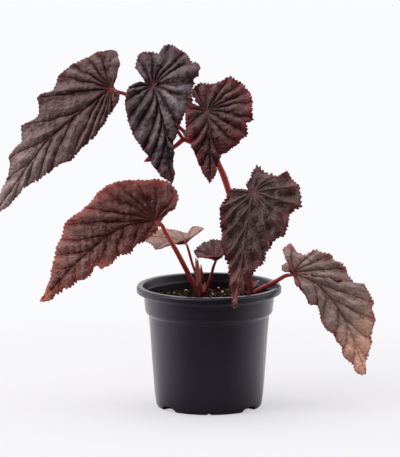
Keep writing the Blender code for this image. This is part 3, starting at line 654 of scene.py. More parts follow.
def cane_scars(route):
    """Return 0 to 1 along a route: 1 on the thin ring scar at each of the cane's nodes."""
    nodes = np.array(CANE_NODES, dtype=float)
    away = np.linalg.norm(route[:, None, :2] - nodes, axis=2).min(axis=1)
    return np.exp(-(away / 0.6) ** 2)


cane_route = smooth_line(CANE, 16)
cane_line = real_points(cane_route)
cane_scar = cane_scars(cane_route)
cane_radii = cane_route[:, 3] * (1 + 0.05 * cane_scar) * MM
cane_red = stem_material("cane_red", colour(0.030, 0.002, 0.002), colour(0.42, 0.040, 0.046))
cane_share = travelled(cane_line) / travelled(cane_line)[-1]
stem_piece("cane", cane_line, cane_radii, cane_red, ["main_cane"],
           values={"scar": 0.6 * cane_scar, "along": np.clip(cane_share / 0.30 - 0.2, 0, 1)})
print("cane:", round(travelled(cane_line)[-1] / MM), "mm long")

# %% The crown
CROWN = [
    (-6.5, 73, 5, 2.4), (-7, 83, 4, 3.6), (-7.4, 91, 2, 4.0), (-7.9, 95, 2, 3.7),
    (-8.5, 98.5, 2, 3.0), (-8.8, 100.6, 2, 2.2), (-8.9, 101.6, 2, 0.7),
]
crown_route = smooth_line(CROWN, 12)
crown_line = real_points(crown_route)
crown_red = stem_material("crown_red", colour(0.020, 0.002, 0.002), colour(0.085, 0.005, 0.006))
stem_piece("crown_shoot", crown_line, crown_route[:, 3] * MM, crown_red, ["crown"], columns=40,
           ripple=0.10, values={"scar": 0.0 * crown_route[:, 3]})

# %% [markdown]
# ## Leaf blades: the outline
#
# A begonia leaf is a lopsided heart: the stalk joins it beside a cleft, not at its edge, and the
# two halves differ. Each leaf was measured in the photo as two edges that run from the cleft to
# the tip, plus its midrib. A subdivided plane pushed about by hand would never fit that, so the
# blade is a fan: rays go from the midrib out to the edge, and the finished outline is the
# measured one by construction. Depth isn't in a photo, so four numbers shape it: lean tips the
# blade back, bow arches it, fold closes it along the midrib, and curl turns its edge back.

# %% Leaf measurements
LEAVES = {
    "top_left": dict(
        joint=(-81, 260, 22), notch=(-78, 262), tip=(-177, 156),
        midrib=[(-111, 236), (-131, 219), (-148, 197)],
        edge_one=[(-75.6, 271), (-74.4, 284), (-77.6, 291.4), (-91, 289.6), (-102, 284.6), (-112, 279.6),
                  (-123, 270.6), (-129.6, 257.6), (-139.6, 254), (-140.4, 238), (-153.4, 230),
                  (-154.6, 222), (-154.2, 215), (-163, 206), (-163, 198), (-165.6, 188), (-169.4, 177)],
        edge_two=[(-74.8, 257), (-75, 250), (-79.6, 242), (-85, 233), (-92, 224), (-102, 214),
                  (-107, 209), (-115, 201), (-123, 198), (-131, 192), (-141, 185),
                  (-150, 180), (-158, 172), (-165, 164)],
        veins_one=[(0, -90, 290), (0, -101, 285), (0, -112, 279), (0, -123, 270), (0, -138, 252),
                   (0.20, -153, 229), (0.44, -163, 204), (0.62, -167, 186)],
        veins_two=[(0, -73, 252), (0, -79, 241), (0, -86, 232), (0, -93, 224), (0.03, -102, 215),
                   (0.07, -115, 203), (0.27, -131, 193), (0.42, -141, 186), (0.56, -150, 180), (0.70, -160, 170)],
        lean=(-0.14, 0.30), bow=7, fold=0.12, curl=3),
    "top_middle": dict(
        joint=(-46, 263, 8), notch=(-53, 266), tip=(-30, 182),
        midrib=[(-40, 242), (-35, 218)],
        edge_one=[(-58.8, 275), (-60, 280), (-55.6, 288.4), (-48, 289.4), (-41, 289.4), (-35.4, 295.6),
                  (-30, 294.6), (-23, 291), (-17, 286.6), (-15.2, 281.6), (-13.6, 279.2), (-11.6, 280),
                  (-8.6, 279.6), (-6.4, 276.8), (-7.4, 274), (-10.8, 272.4), (-13.4, 270.4), (-12.9, 266), (-13.2, 259), (-14.2, 250), (-17, 244.5), (-18.8, 241),
                  (-21.5, 234), (-24.6, 229.5), (-25.8, 225), (-28.2, 219), (-30.4, 215), (-30.6, 208),
                  (-30.4, 199), (-30.2, 187)],
        edge_two=[(-61, 263), (-65.8, 260.4), (-68.4, 252), (-68.4, 243), (-65.4, 230), (-59.4, 217),
                  (-51, 206), (-47, 199), (-40, 191)],
        veins_one=[(0, -58, 286), (0, -47, 290), (0, -31, 295), (0, -21, 290), (0, -13, 282),
                   (0, -12, 265), (0, -14, 250), (0, -24, 229), (0.42, -29, 212), (0.62, -29, 198)],
        veins_two=[(0, -66, 261), (0, -68, 249), (0, -66, 234), (0.08, -61, 222), (0.20, -54, 210),
                   (0.36, -48, 201), (0.56, -42, 194)],
        lean=(-0.06, 0.45), bow=6, fold=0.36, curl=3),
    "top_right": dict(
        joint=(-2, 242, -12), notch=(-8, 246), tip=(0.7, 181.4),
        midrib=[(0, 226), (1, 206)],
        edge_one=[(-11, 251), (-12, 257), (-11, 261), (-7, 263.6), (0, 263.2), (8, 264.2),
                  (15, 268.8), (20, 268), (25, 265), (30, 261), (33.6, 254.8), (35, 247),
                  (35.6, 240), (34.5, 233.4), (31, 232), (31.7, 227), (30.5, 221.5), (25.5, 217),
                  (19.5, 212), (13.6, 207.4), (8.8, 206), (6.8, 197), (4.5, 187.6)],
        edge_two=[(-16, 245), (-19, 240), (-19, 229), (-18, 223), (-14.8, 216), (-13.5, 212),
                  (-8.8, 201), (-6, 194), (-3.2, 187.4)],
        veins_one=[(0, -11, 259), (0, -2, 264), (0, 17, 269), (0, 26, 265), (0, 33, 257), (0, 35, 249),
                   (0, 35, 236), (0, 31, 222), (0.06, 23, 214), (0.24, 9, 206), (0.52, 6, 195)],
        veins_two=[(0, -18, 243), (0, -19, 229), (0.12, -15, 216), (0.28, -11, 205), (0.50, -7, 196)],
        lean=(0.08, 0.40), bow=5, fold=0.18, curl=3),
    "right_front": dict(
        joint=(36, 175, -30), notch=(32, 177), tip=(21.2, 78.6),
        midrib=[(31, 148), (27, 119)],
        edge_one=[(30.2, 181.6), (33.6, 188), (34.8, 193), (38.8, 196.2), (44.2, 195.6), (48.5, 191.6),
                  (52.5, 189.4), (57.4, 190.8), (63.4, 191.4), (68.6, 187.4), (72.6, 181), (75.4, 174),
                  (76, 168), (74.8, 163), (71, 160), (67.4, 157), (64.8, 152), (65.4, 146),
                  (61.6, 140), (56, 136.2), (51, 130.6), (47.6, 124.4), (46.8, 119), (41.8, 114.6), (37.6, 108.6),
                  (32.5, 102.6), (29.6, 97), (28, 92.5), (26.2, 89), (24.6, 83), (24, 80)],
        edge_two=[(22, 178), (17.6, 175.8), (12.8, 169.6), (9.8, 164), (8.6, 154), (10.4, 142),
                  (10.6, 132), (12.6, 124), (15.2, 115), (16.2, 108), (17.6, 97), (18.2, 89), (18.6, 83), (18.6, 80.5)],
        veins_one=[(0, 40, 194), (0, 51, 188), (0, 63, 189), (0, 72, 179), (0, 75, 164), (0, 64, 152),
                   (0, 61, 141), (0, 50, 131), (0.22, 42, 117), (0.48, 34, 105), (0.66, 28, 94)],
        veins_two=[(0, 18, 175), (0, 10, 161), (0, 10, 148), (0.10, 11, 136), (0.28, 14, 121),
                   (0.46, 17, 110), (0.66, 18, 97)],
        lean=(0.12, 0.42), bow=3, fold=0.25, curl=3),
    "low_left": dict(
        joint=(-44, 152, -15), notch=(-39, 151), tip=(-139, 85),
        midrib=[(-73, 145), (-102, 123)],
        edge_one=[(-35.5, 156.4), (-29.8, 160.4), (-25.7, 167.5), (-25.2, 172), (-27, 177.4), (-31, 181.4),
                  (-37, 184), (-46, 184.8), (-57, 184.6), (-72, 183.4), (-81, 181.8), (-90, 175.4), (-96, 169.4),
                  (-103, 161.4), (-113.4, 154), (-118, 147.8), (-122.6, 136), (-126.6, 126),
                  (-128, 115), (-130, 107), (-133, 97)],
        edge_two=[(-39, 148), (-42, 145), (-47, 139), (-52.4, 135.8), (-57.6, 132.8), (-62, 128.6),
                  (-66.8, 123.4), (-74.4, 123.2), (-78, 119), (-82, 115), (-87.6, 114.2), (-94.6, 115),
                  (-97, 109.6), (-102, 103.4), (-109, 102.4), (-114, 96.2), (-124, 92.2), (-130, 86.6)],
        veins_one=[(0, -29, 161), (0, -27, 175), (0, -44, 185), (0, -60, 185), (0, -75, 183), (0, -90, 175),
                   (0, -102, 162), (0.02, -118, 148), (0.34, -123, 135), (0.52, -126, 124), (0.66, -129, 111)],
        veins_two=[(0, -44, 143), (0, -55, 136), (0.10, -64, 127), (0.22, -76, 123), (0.34, -88, 114),
                   (0.50, -98, 108), (0.64, -110, 102), (0.80, -123, 93)],
        lean=(-0.10, 0.34), bow=8, fold=0.12, curl=4),
    "low_right": dict(
        joint=(69, 109, 3), notch=(66, 109), tip=(129.4, 25),
        midrib=[(91, 97), (112, 70)],
        edge_one=[(62, 109.4), (59.6, 111.6), (60, 114.6), (63.4, 116.4), (64.4, 118.6), (63, 121.6), (59.4, 126.6),
                  (65.2, 132.2), (70, 128), (71.8, 125.4), (78, 124.2), (82, 126), (88, 126.8), (93, 125.8),
                  (99.8, 122.4), (104.8, 118), (109.8, 117.4),
                  (113, 110), (117, 104.4), (120.4, 100), (125.6, 99.2), (130.2, 95), (133, 90),
                  (133.4, 83), (133.6, 76), (134.8, 67), (133.8, 60.6), (133.4, 54), (132.2, 46.6),
                  (130.8, 43), (128.2, 37.6), (127.6, 33.6), (129, 29)],
        edge_two=[(69.6, 105), (71.2, 99), (77.4, 93.6), (80.6, 88.4), (83, 83), (89.6, 81.6), (91.2, 74),
                  (93.6, 67), (97, 62), (103, 58), (106, 52), (110, 47), (111.8, 39.6),
                  (118, 33.6), (119.4, 28.8), (124.6, 24.6)],
        veins_one=[(0, 60, 124), (0, 66, 130), (0, 87, 126), (0, 99, 122), (0, 112, 112), (0, 125, 99),
                   (0.14, 133, 84), (0.34, 134, 70), (0.52, 133, 52), (0.72, 129, 39)],
        veins_two=[(0, 71, 101), (0, 81, 86), (0.16, 90, 80), (0.30, 93, 70), (0.46, 104, 56),
                   (0.60, 111, 44), (0.76, 117, 34)],
        lean=(0.10, 0.38), bow=6, fold=0.14, curl=3),
    "young_left": dict(
        joint=(-19, 134.5, 8), notch=(-19.5, 133), tip=(-58, 136),
        midrib=[(-32, 137), (-45, 138)],
        edge_one=[(-15, 137), (-11, 140), (-6, 142), (-4, 145), (-6, 146), (-10, 147),
                  (-14, 146), (-18, 142), (-24, 143), (-30, 144), (-39, 144), (-50, 141)],
        edge_two=[(-25, 132.5), (-30, 132), (-36, 130.5), (-40, 128), (-44, 128),
                  (-47, 131), (-53, 134)],
        veins_one=[(0, -6, 143), (0, -14, 146), (0, -24, 143), (0, -34, 144), (0.3, -46, 142.5)],
        veins_two=[(0, -25, 132.5), (0, -36, 130.5), (0.3, -44, 128)],
        lean=(0.0, 2.2), bow=0, fold=0.0, curl=1),
    "young_middle": dict(
        joint=(5, 120, -2), notch=(5, 118.5), tip=(-12.5, 127),
        midrib=[(-4, 124.5)],
        edge_one=[(2, 120.6), (-2.6, 121.6), (-6, 122.4), (-9.4, 121.4), (-12, 124.6)],
        edge_two=[(8, 120), (12, 123), (17, 126), (18, 130), (15, 133.4), (10, 135),
                  (6, 135.8), (1.4, 135.6), (-1.6, 134), (-4.6, 134.2), (-6.2, 131.4), (-9.8, 129.8), (-10.4, 128)],
        veins_one=[(0, -3, 121.6), (0, -9, 121.8)],
        veins_two=[(0, 10, 121.5), (0, 18, 129), (0, 12, 134.6), (0, 2, 135.6), (0, -6, 132)],
        lean=(0.0, 1.0), bow=0, fold=0.10, curl=1),
}

# %% [markdown]
# ## Leaf blades: rows that follow the veins
#
# Veins are the skeleton of the leaf, so the mesh follows them. A row number from 0 to 1 sweeps
# the fan that starts at the joint, and from 1 to 2 the rays whose start moves down the midrib.
# Each vein lies on a row of its own. Between the measured veins the rows are spaced evenly.

# %% Rows and rays
ARCH_ROWS = [0.0, 1.0, 1.12, 2.0]
ARCH_BENDS = [-0.05, -0.05, 0.10, 0.10]
VALLEY_WIDTH = 3.0


def fraction_near(line, place):
    """Return how far along a line, from 0 to 1, its nearest point to a place lies."""
    distance = travelled(line)
    return distance[np.linalg.norm(line - place, axis=1).argmin()] / distance[-1]


def vein_rows(leaf, side, margin):
    """Return the row of each vein, and the knots that turn a row into a share of the margin."""
    starts = np.array([vein[0] for vein in leaf["veins_" + side]])
    ends = np.array([fraction_near(margin, vein[1:]) for vein in leaf["veins_" + side]])
    lobe_end = ends[starts == 0][-1]
    rows = np.where(starts == 0, ends / lobe_end, 1 + starts)
    return rows, np.concatenate([[0], rows, [2]]), np.concatenate([[0], ends, [1]])


def choose_rows(count, margins, midrib, knots, veins):
    """Space rows evenly over both margins and the midrib, then move the nearest row onto each vein."""
    fine = np.linspace(0.0, 2.0, 4001)
    walk = 0.6 * travelled(midrib)[-1] * np.clip(fine - 1, 0, 1)
    for margin, (knot_rows, knot_ends) in zip(margins, knots):
        walk = walk + travelled(margin)[-1] * np.interp(fine, knot_rows, knot_ends)
    rows = np.interp(np.linspace(0, walk[-1], count), walk, fine)
    for wanted in np.concatenate([[1.0], *veins]):
        rows[np.abs(rows - wanted).argmin()] = wanted
    return np.sort(rows)


def half_rays(leaf, rows, midrib, margin, knots, teeth, lobes, columns):
    """Return one half of the blade as places (x, height, depth), with t and the reach in mm.

    A ray is a quadratic Bezier curve from the midrib to the margin, whose middle is pushed
    along the midrib by a share of its reach. Teeth push only the outer end, lobes more: both go
    mostly square to the margin and partly along the ray, so that teeth lean forward. The rays
    of the fan never turn back, or the blade would cross itself beside a deep notch.
    """
    joint, tip = midrib[0], midrib[-1]
    spine = np.clip(rows - 1, 0, 1)
    starts = at_fractions(midrib, spine)
    ends = at_fractions(margin, np.interp(rows, *knots))
    fan = ends[rows <= 1] - joint
    angle = np.unwrap(np.arctan2(fan[:, 1], fan[:, 0]))
    turn = np.sign(angle[-1] - angle[0])
    angle = turn * np.maximum.accumulate(turn * angle) + turn * 1e-4 * np.arange(len(angle))
    ends[rows <= 1] = joint + np.linalg.norm(fan, axis=1)[:, None] * np.stack([np.cos(angle), np.sin(angle)], axis=1)
    ahead = at_fractions(midrib, np.clip(spine + 0.04, 0, 1)) - at_fractions(midrib, np.clip(spine - 0.04, 0, 1))
    ahead /= np.linalg.norm(ahead, axis=1)[:, None]
    reach = np.linalg.norm(ends - starts, axis=1)[:, None]
    bend = np.interp(rows, ARCH_ROWS, ARCH_BENDS)[:, None] * np.clip(rows / 0.3, 0, 1)[:, None]
    bends = (starts + ends) / 2 + bend * reach * ahead
    t = columns[None, :, None]
    flat = starts[:, None] * (1 - t) ** 2 + 2 * bends[:, None] * t * (1 - t) + ends[:, None] * t ** 2
    outward = (ends - bends) / np.maximum(np.linalg.norm(ends - bends, axis=1), 1e-6)[:, None]
    run = np.gradient(ends, axis=0)
    square = np.stack([run[:, 1], -run[:, 0]], axis=1)
    square *= np.sign(np.sum(square * outward, axis=1))[:, None]
    square /= np.maximum(np.linalg.norm(square, axis=1), 1e-6)[:, None]
    push = 0.8 * square + 0.4 * outward
    room = np.clip(reach[:, 0] / 8.0, 0, 1)
    grow = (teeth * room)[:, None, None] * t ** 18 + (lobes * room)[:, None, None] * t ** 5
    flat = flat + push[:, None] * grow
    offset = flat - starts[:, None]
    aside = offset[..., 0] * ahead[:, None, 1] - offset[..., 1] * ahead[:, None, 0]
    aside = np.hypot(aside, VALLEY_WIDTH) - VALLEY_WIDTH
    from_joint = flat - joint
    onward = np.clip(from_joint @ (tip - joint) / np.sum((tip - joint) ** 2), -0.3, 1.0)
    depth = (leaf["joint"][2] + from_joint @ np.array(leaf["lean"])
             - leaf["bow"] * (1 - (2 * onward - 1) ** 2) - leaf["fold"] * aside
             + leaf["curl"] * t[..., 0] ** 3 * np.minimum(reach / 20.0, 1.0))
    return np.concatenate([flat, depth[..., None]], axis=2), reach, onward


def margin_teeth(distance, vein_ends, seed, style, teeth, lobe):
    """Return how far the margin stands out at each distance along it, all in mm.

    Teeth: a sine of a skewed saw, so that each tooth rises slowly and drops quickly, with a
    height of its own, and a second row of teeth less than half as long. Lobes: a round bump
    where each vein ends, less a constant, so that the margin is hollow between them.
    """
    saw = distance / style["tooth"] + 0.25 * np.sin(distance / 7.0 + seed)
    number = np.floor(saw)
    height = 0.45 + 1.1 * scatter(number, number * 0, seed)
    large = height * (np.sin(math.pi * (saw - number) ** 0.7) ** 0.8 - 0.62)
    fine_saw = distance / (style["tooth"] * 0.43)
    small = np.sin(math.pi * (fine_saw - np.floor(fine_saw))) - 0.6
    bumps = np.exp(-((distance[:, None] - vein_ends) / style["lobe_width"]) ** 2).max(axis=1)
    return teeth * (large + 0.35 * small), lobe * (bumps - 0.4)

# %% [markdown]
# ## Leaf blades: relief
#
# The blade is quilted: it puffs up between sunken veins and runs out in a wavy, toothed edge.
# All of that is a height over the smooth fan, measured in millimetres: a rounded hill between
# each two veins, a groove along every vein and its forks, small puckers, and a slow ruffle.
# Sculpting it as geometry rather than as a painted bump lets it catch light from any side.

# %% Relief of one half
def vein_fields(rows, vein_row, flat, reach, columns, style, joint):
    """Return the height, vein masks and distance fields of one half of a blade.

    walk is the distance across the rows at each step out, so that a place's distance to a
    vein is the difference of their walks; a slow random warp keeps veins from being ruled
    lines. A ridge is 1 - |2 share - 1| ^ 1.35 between two veins, crossed by low rungs: a sine
    of the distance from the joint.
    """
    step = np.linalg.norm(np.diff(flat, axis=0), axis=2)
    walk = np.vstack([np.zeros(flat.shape[1]), np.cumsum(step, axis=0)])
    index = np.abs(rows[:, None] - vein_row).argmin(axis=0)
    bounds = np.concatenate([[0], index, [len(rows) - 1]])
    slot = np.clip(np.searchsorted(bounds, np.arange(len(rows)), side="right") - 1, 0, len(bounds) - 2)
    low, high = walk[bounds[slot]], walk[bounds[slot + 1]]
    width = np.maximum(high - low, 1e-6)
    from_joint = np.linalg.norm(flat - joint, axis=2)
    wavy = style["warp"] * ripples(flat, 17.0, style["seed"] + 20) * np.clip(from_joint / 16.0, 0, 1)
    wavy = wavy * np.clip(width / 6.0, 0, 1)
    place = walk + wavy
    share = np.clip((place - low) / width, 0, 1)
    t = columns[None, :]
    from_midrib = t * reach
    ramp = 1 - np.exp(-from_midrib / 4.5)
    ridge = 1 - np.abs(2 * share - 1) ** 1.35
    swell = np.minimum(width / 9.0, 1.5) * (1 + 0.35 * ripples(flat, 21.0, style["seed"] + 30))
    height = style["pleat"] * ridge * swell * ramp * (1 - 0.3 * t ** 6)
    rung = from_joint / (1.35 * style["cell"]) + 0.5 * ripples(flat, 13.0, style["seed"] + 40)
    height += style["rungs"] * np.sin(2 * math.pi * rung) * ridge * ramp * np.clip(width / 7.0, 0, 1)
    fine = style["vein"] * (1.15 - 0.75 * t)
    away = np.abs(place[None] - walk[index][:, None]).min(axis=0)
    main = np.exp(-(from_midrib / (1.3 * style["vein"])) ** 2)
    mask = np.maximum(main, np.exp(-(away / (0.85 * fine)) ** 2))
    broad = np.maximum(np.exp(-(from_midrib / (2.6 * style["vein"])) ** 2), np.exp(-(away / (2.4 * fine)) ** 2))
    forks = np.zeros_like(walk)
    for number, vein in enumerate(index):
        for neighbour in (bounds[number], bounds[number + 2]):
            gap = walk[neighbour] - walk[vein]
            for split, part in ((0.40, 0.42), (0.68, 0.22)):
                lean = np.clip((t - split) / (1 - split), 0, 1) ** 0.85
                line = walk[vein] + part * gap * lean
                forks = np.maximum(forks, (t > split) * np.exp(-((place - line) / (0.7 * fine)) ** 2))
    height = height - style["groove"] * mask - 0.6 * style["groove"] * forks * np.minimum(width / 6.0, 1.0)
    return dict(height=height, vein=np.maximum(mask, 0.55 * forks), broad=broad, hill=ridge * ramp,
                away=away, edge=(1 - t) * reach)


# %% Building a closed blade
def merged_ids(rows, shape):
    """Return one vertex number per grid place of both halves.

    The halves share the midrib and the ray in the cleft; all rays of the fan share the joint,
    and the last ray shrinks to the tip.
    """
    ids = np.arange(2 * shape[0] * shape[1]).reshape(2, *shape)
    ids[1, :, 0] = ids[0, :, 0]
    ids[1, 0] = ids[0, 0]
    ids[:, rows <= 1, 0] = ids[0, 0, 0]
    ids[:, -1, :] = ids[0, -1, 0]
    kept, small = np.unique(ids, return_inverse=True)
    return kept, small.reshape(ids.shape)


def blade_faces(ids):
    """Return quads and triangles of the middle surface, all turned the same way."""
    quads, triangles = [], []
    for half in range(2):
        grid = ids[half]
        four = np.stack([grid[:-1, :-1], grid[:-1, 1:], grid[1:, 1:], grid[1:, :-1]], axis=-1).reshape(-1, 4)
        at_joint = four[:, 0] == four[:, 3]
        at_tip = four[:, 2] == four[:, 3]
        quad = four[~at_joint & ~at_tip]
        three = four[(at_joint | at_tip) & ~(at_joint & at_tip)][:, :3]
        quads.append(quad if half == 0 else quad[:, ::-1])
        triangles.append(three if half == 0 else three[:, ::-1])
    return np.vstack(quads), np.vstack(triangles)


def vertex_normals(points, quads, triangles):
    """Return unit normals: the sum of the cross products of the faces round each vertex."""
    padded = np.vstack([quads, triangles[:, [0, 1, 2, 2]]])
    a, b, c, d = (points[padded[:, corner]] for corner in range(4))
    face = np.cross(c - a, d - b)
    count = len(points)
    normals = np.stack([
        sum(np.bincount(padded[:, corner], weights=face[:, axis], minlength=count) for corner in range(4))
        for axis in range(3)], axis=1)
    return normals / np.maximum(np.linalg.norm(normals, axis=1), 1e-12)[:, None]


BLADE_THICKNESS = 0.46


def blade_solid(points, normals, ids, quads, triangles, thickness, ridge, outward):
    """Give the middle surface a thickness and a rounded rim. Returns points and faces.

    The upper and lower faces lie half the thickness to each side, the veins stand out below
    by the ridge, and a ring of points pushed a little outwards rounds the margin.
    """
    over = points + normals * (thickness / 2)[:, None] * MM
    under = points - normals * (thickness / 2 + ridge)[:, None] * MM
    loop = np.concatenate([ids[0, :, -1], ids[1, -2:0:-1, -1]])
    rim = points[loop] + outward * 0.12 * MM
    count = len(points)
    ring = 2 * count + np.arange(len(loop))
    following, ring_following = np.roll(loop, -1), np.roll(ring, -1)
    upper = np.stack([following, loop, ring, ring_following], axis=1)
    lower = np.stack([ring_following, ring, loop + count, following + count], axis=1)
    faces = (quads.tolist() + (quads[:, ::-1] + count).tolist() + triangles.tolist()
             + (triangles[:, ::-1] + count).tolist() + upper.tolist() + lower.tolist())
    return np.vstack([over, under, rim]), faces, loop


# %% Growing one leaf
def grow_leaf(name, leaf, style, material):
    """Build one leaf blade from its measurements and its style.

    Returns the joint, where the stalk meets the blade, and the direction out of the blade there.
    """
    midrib = smooth_line([leaf["joint"][:2], *leaf["midrib"], leaf["tip"]], 24)
    axis = np.subtract(leaf["tip"], leaf["joint"][:2])
    across = np.mean(leaf["edge_one"], axis=0) - leaf["joint"][:2]
    order = ["one", "two"] if axis[0] * across[1] < axis[1] * across[0] else ["two", "one"]
    margins = [smooth_line([leaf["notch"], *leaf["edge_" + side], leaf["tip"]], 16) for side in order]
    layout = [vein_rows(leaf, side, margin) for side, margin in zip(order, margins)]
    knots = [(knot_rows, knot_ends) for _, knot_rows, knot_ends in layout]
    row_count = int(max(travelled(margin)[-1] for margin in margins) / style["step"])
    rows = choose_rows(row_count, margins, midrib, knots, [veins for veins, _, _ in layout])
    out = np.linspace(0.0, 1.0, style["columns"])
    out = out + 0.06 * np.sin(2 * math.pi * out)
    out = np.clip(out, 0, 1)
    halves, fields = [], []
    for number, (margin, (veins, *knot)) in enumerate(zip(margins, layout)):
        length = travelled(margin)[-1]
        distance = length * np.interp(rows, *knot)
        edge = 0 if order[number] == "one" else 1
        teeth, lobes = margin_teeth(distance, length * knot[1][1:-1], style["seed"] + number, style,
                                    style["teeth"][edge], style["lobes"][edge])
        fade = np.clip(rows / 0.08, 0, 1) * np.clip((2 - rows) / 0.06, 0, 1)
        places, reach, onward = half_rays(leaf, rows, midrib, margin, knot, teeth * fade, lobes * fade, out)
        field = vein_fields(rows, veins, places[..., :2], reach, out, style, midrib[0])
        field["onward"] = onward
        halves.append(places)
        fields.append(field)
    places = np.stack(halves)
    kept, ids = merged_ids(rows, places.shape[1:3])
    flat = places.reshape(-1, 3)[kept]
    table = {key: np.stack([field[key] for field in fields]).reshape(-1)[kept] for key in fields[0]}
    smooth = real_points(flat)
    quads, triangles = blade_faces(ids)
    normals = vertex_normals(smooth, quads, triangles)
    plane = flat[:, :2]
    away = np.linalg.norm(plane - leaf["joint"][:2], axis=1)
    pucker = np.minimum(cells(plane, style["cell"], style["seed"]), 0.55) / 0.55
    inner = np.clip(table["edge"] / 3.0, 0, 1)
    relief = (table["height"] + style["pucker"] * (pucker - 0.6) * np.clip(away / 12.0, 0.15, 1)
              + style["ruffle"] * ripples(plane, 34.0, style["seed"] + 9) * (1 - 0.55 * inner)
              * np.clip(away / 15.0, 0, 1)
              + style["pucker"] * 0.8 * ripples(plane, 7.0, style["seed"] + 14) * inner * np.clip(away / 12.0, 0.1, 1)
              + 0.5 * style["ruffle"] * ripples(plane, 13.0, style["seed"] + 50) * np.clip(away / 14.0, 0, 1)
              - 1.4 * np.exp(-(away / 7.0) ** 2))
    raised = smooth + normals * (relief * MM)[:, None]
    normals = vertex_normals(raised, quads, triangles)
    thickness = BLADE_THICKNESS * (0.55 + 0.45 * np.clip(table["edge"] / 3.0, 0, 1))
    ridge = style["vein"] * 0.55 * table["vein"] * np.clip(table["edge"] / 8.0, 0.1, 1)
    ends = np.concatenate([ids[0, :, -1], ids[1, -2:0:-1, -1]])
    before = np.concatenate([ids[0, :, -3], ids[1, -2:0:-1, -3]])
    outward = raised[ends] - raised[before]
    outward /= np.maximum(np.linalg.norm(outward, axis=1), 1e-9)[:, None]
    points, faces, loop = blade_solid(raised, normals, ids, quads, triangles, thickness, ridge, outward)
    speck = ripples(plane, 9.0, style["seed"] + 4)
    reach = style["rim"] * (1 + 0.55 * ripples(plane, 12.0, style["seed"] + 6))
    rim = np.exp(-(table["edge"] / np.maximum(reach, 0.5)) ** 1.6) * (0.86 + 0.25 * speck)
    patch = style["patch"] * (1 + 0.3 * speck)
    ends_of_veins = np.exp(-(table["edge"] / patch) ** 2 - (table["away"] / (0.75 * patch)) ** 2)
    # Soft spots of painted light and shade: a factor above 1 brightens the colour as painted light, below 1 darkens it
    # as painted shade.
    painted_light = np.clip(1 + spots(plane, style["painted_light"]), 0.15, 3)
    values = {
        "painted_light": painted_light,
        "vein": table["vein"],
        "hill": table["hill"],
        "rim": np.clip(np.maximum(rim, ends_of_veins * style["patches"]) + spots(plane, style["blush"]), 0, 1),
        "onward": np.clip(table["onward"], 0, 1),
        "joint": style["spot"][1] * np.exp(-(away / style["spot"][0]) ** 2),
        "heart": np.exp(-(away / style["heart"][0]) ** 1.5)
                 * (style["heart"][1] + (1 - style["heart"][1]) * table["broad"]),
    }
    values = {label: np.concatenate([numbers, numbers, numbers[loop]]) for label, numbers in values.items()}
    values["under"] = np.concatenate([0 * away, 0 * away + 1, 0 * loop + 0.4])
    flat_plane = np.vstack([plane, plane, plane[loop]]) / 100.0
    facing = normals[:, 1].mean()
    print(name, "faces", len(faces), "facing", round(facing, 2))
    add_piece(f"blade_{name}", points, faces, material, [f"leaf_{name}"], values, flat_plane)
    return raised[ids[0, 0, 0]], normals[ids[0, 0, 0]]

# %% [markdown]
# ## Leaf blades: finish
#
# Up close the blade is a dark brown skin, paler and greyer on its hills, with red-brown veins, a fine
# net of smaller veins, dark pin-prick dots, and a crimson edge. The grey of the hills is partly
# painted sheen and the dark of the valleys partly painted shade, the dots are painted shade of small
# pits, and soft spots of painted light and shade lie over each blade. The lower face is wine red.
# All leaves share one node group; each leaf has its own colours, because some are older, and some
# have orange tips. The masks come from attributes that the geometry step stored on the mesh, so
# the markings follow the surface.

# %% Shared finish: leaf skin
leaf_group, start, end = new_group(
    "leaf_skin",
    {"Plane": "Vector", "Vein": "Float", "Hill": "Float", "Rim": "Float", "Onward": "Float",
     "Joint": "Float", "Heart": "Float", "Under": "Float", "Valley Colour": "Color", "Hill Colour": "Color",
     "Vein Colour": "Color", "Rim Colour": "Color", "Tip Colour": "Color", "Heart Colour": "Color",
     "Under Colour": "Color",
     "Dots": "Float", "Tip Reach": "Float", "Vein Strength": "Float", "Crest": "Float",
     "Painted_Light": "Float"},
    {"Color": "Color", "Roughness": "Float", "Height": "Float"})
g = leaf_group
mottle = noise(g, start["Plane"], 22.0, 5.0, 0.6)
fine = noise(g, start["Plane"], 160.0, 4.0, 0.6)
net = put(g, "ShaderNodeTexVoronoi", {"Vector": start["Plane"], "Scale": 34.0, "Randomness": 0.95},
          feature="DISTANCE_TO_EDGE").outputs["Distance"]
net_line = spread(g, net, 0.10, 0.0)
dots = put(g, "ShaderNodeTexVoronoi", {"Vector": start["Plane"], "Scale": 30.0})
dot_pick = put(g, "ShaderNodeSeparateColor", {0: dots.outputs["Color"]}).outputs[0]
dot_mask = maths(g, "MULTIPLY", spread(g, dots.outputs["Distance"], 0.22, 0.10), spread(g, dot_pick, 0.70, 0.74))
dot_mask = maths(g, "MULTIPLY", dot_mask, start["Dots"])
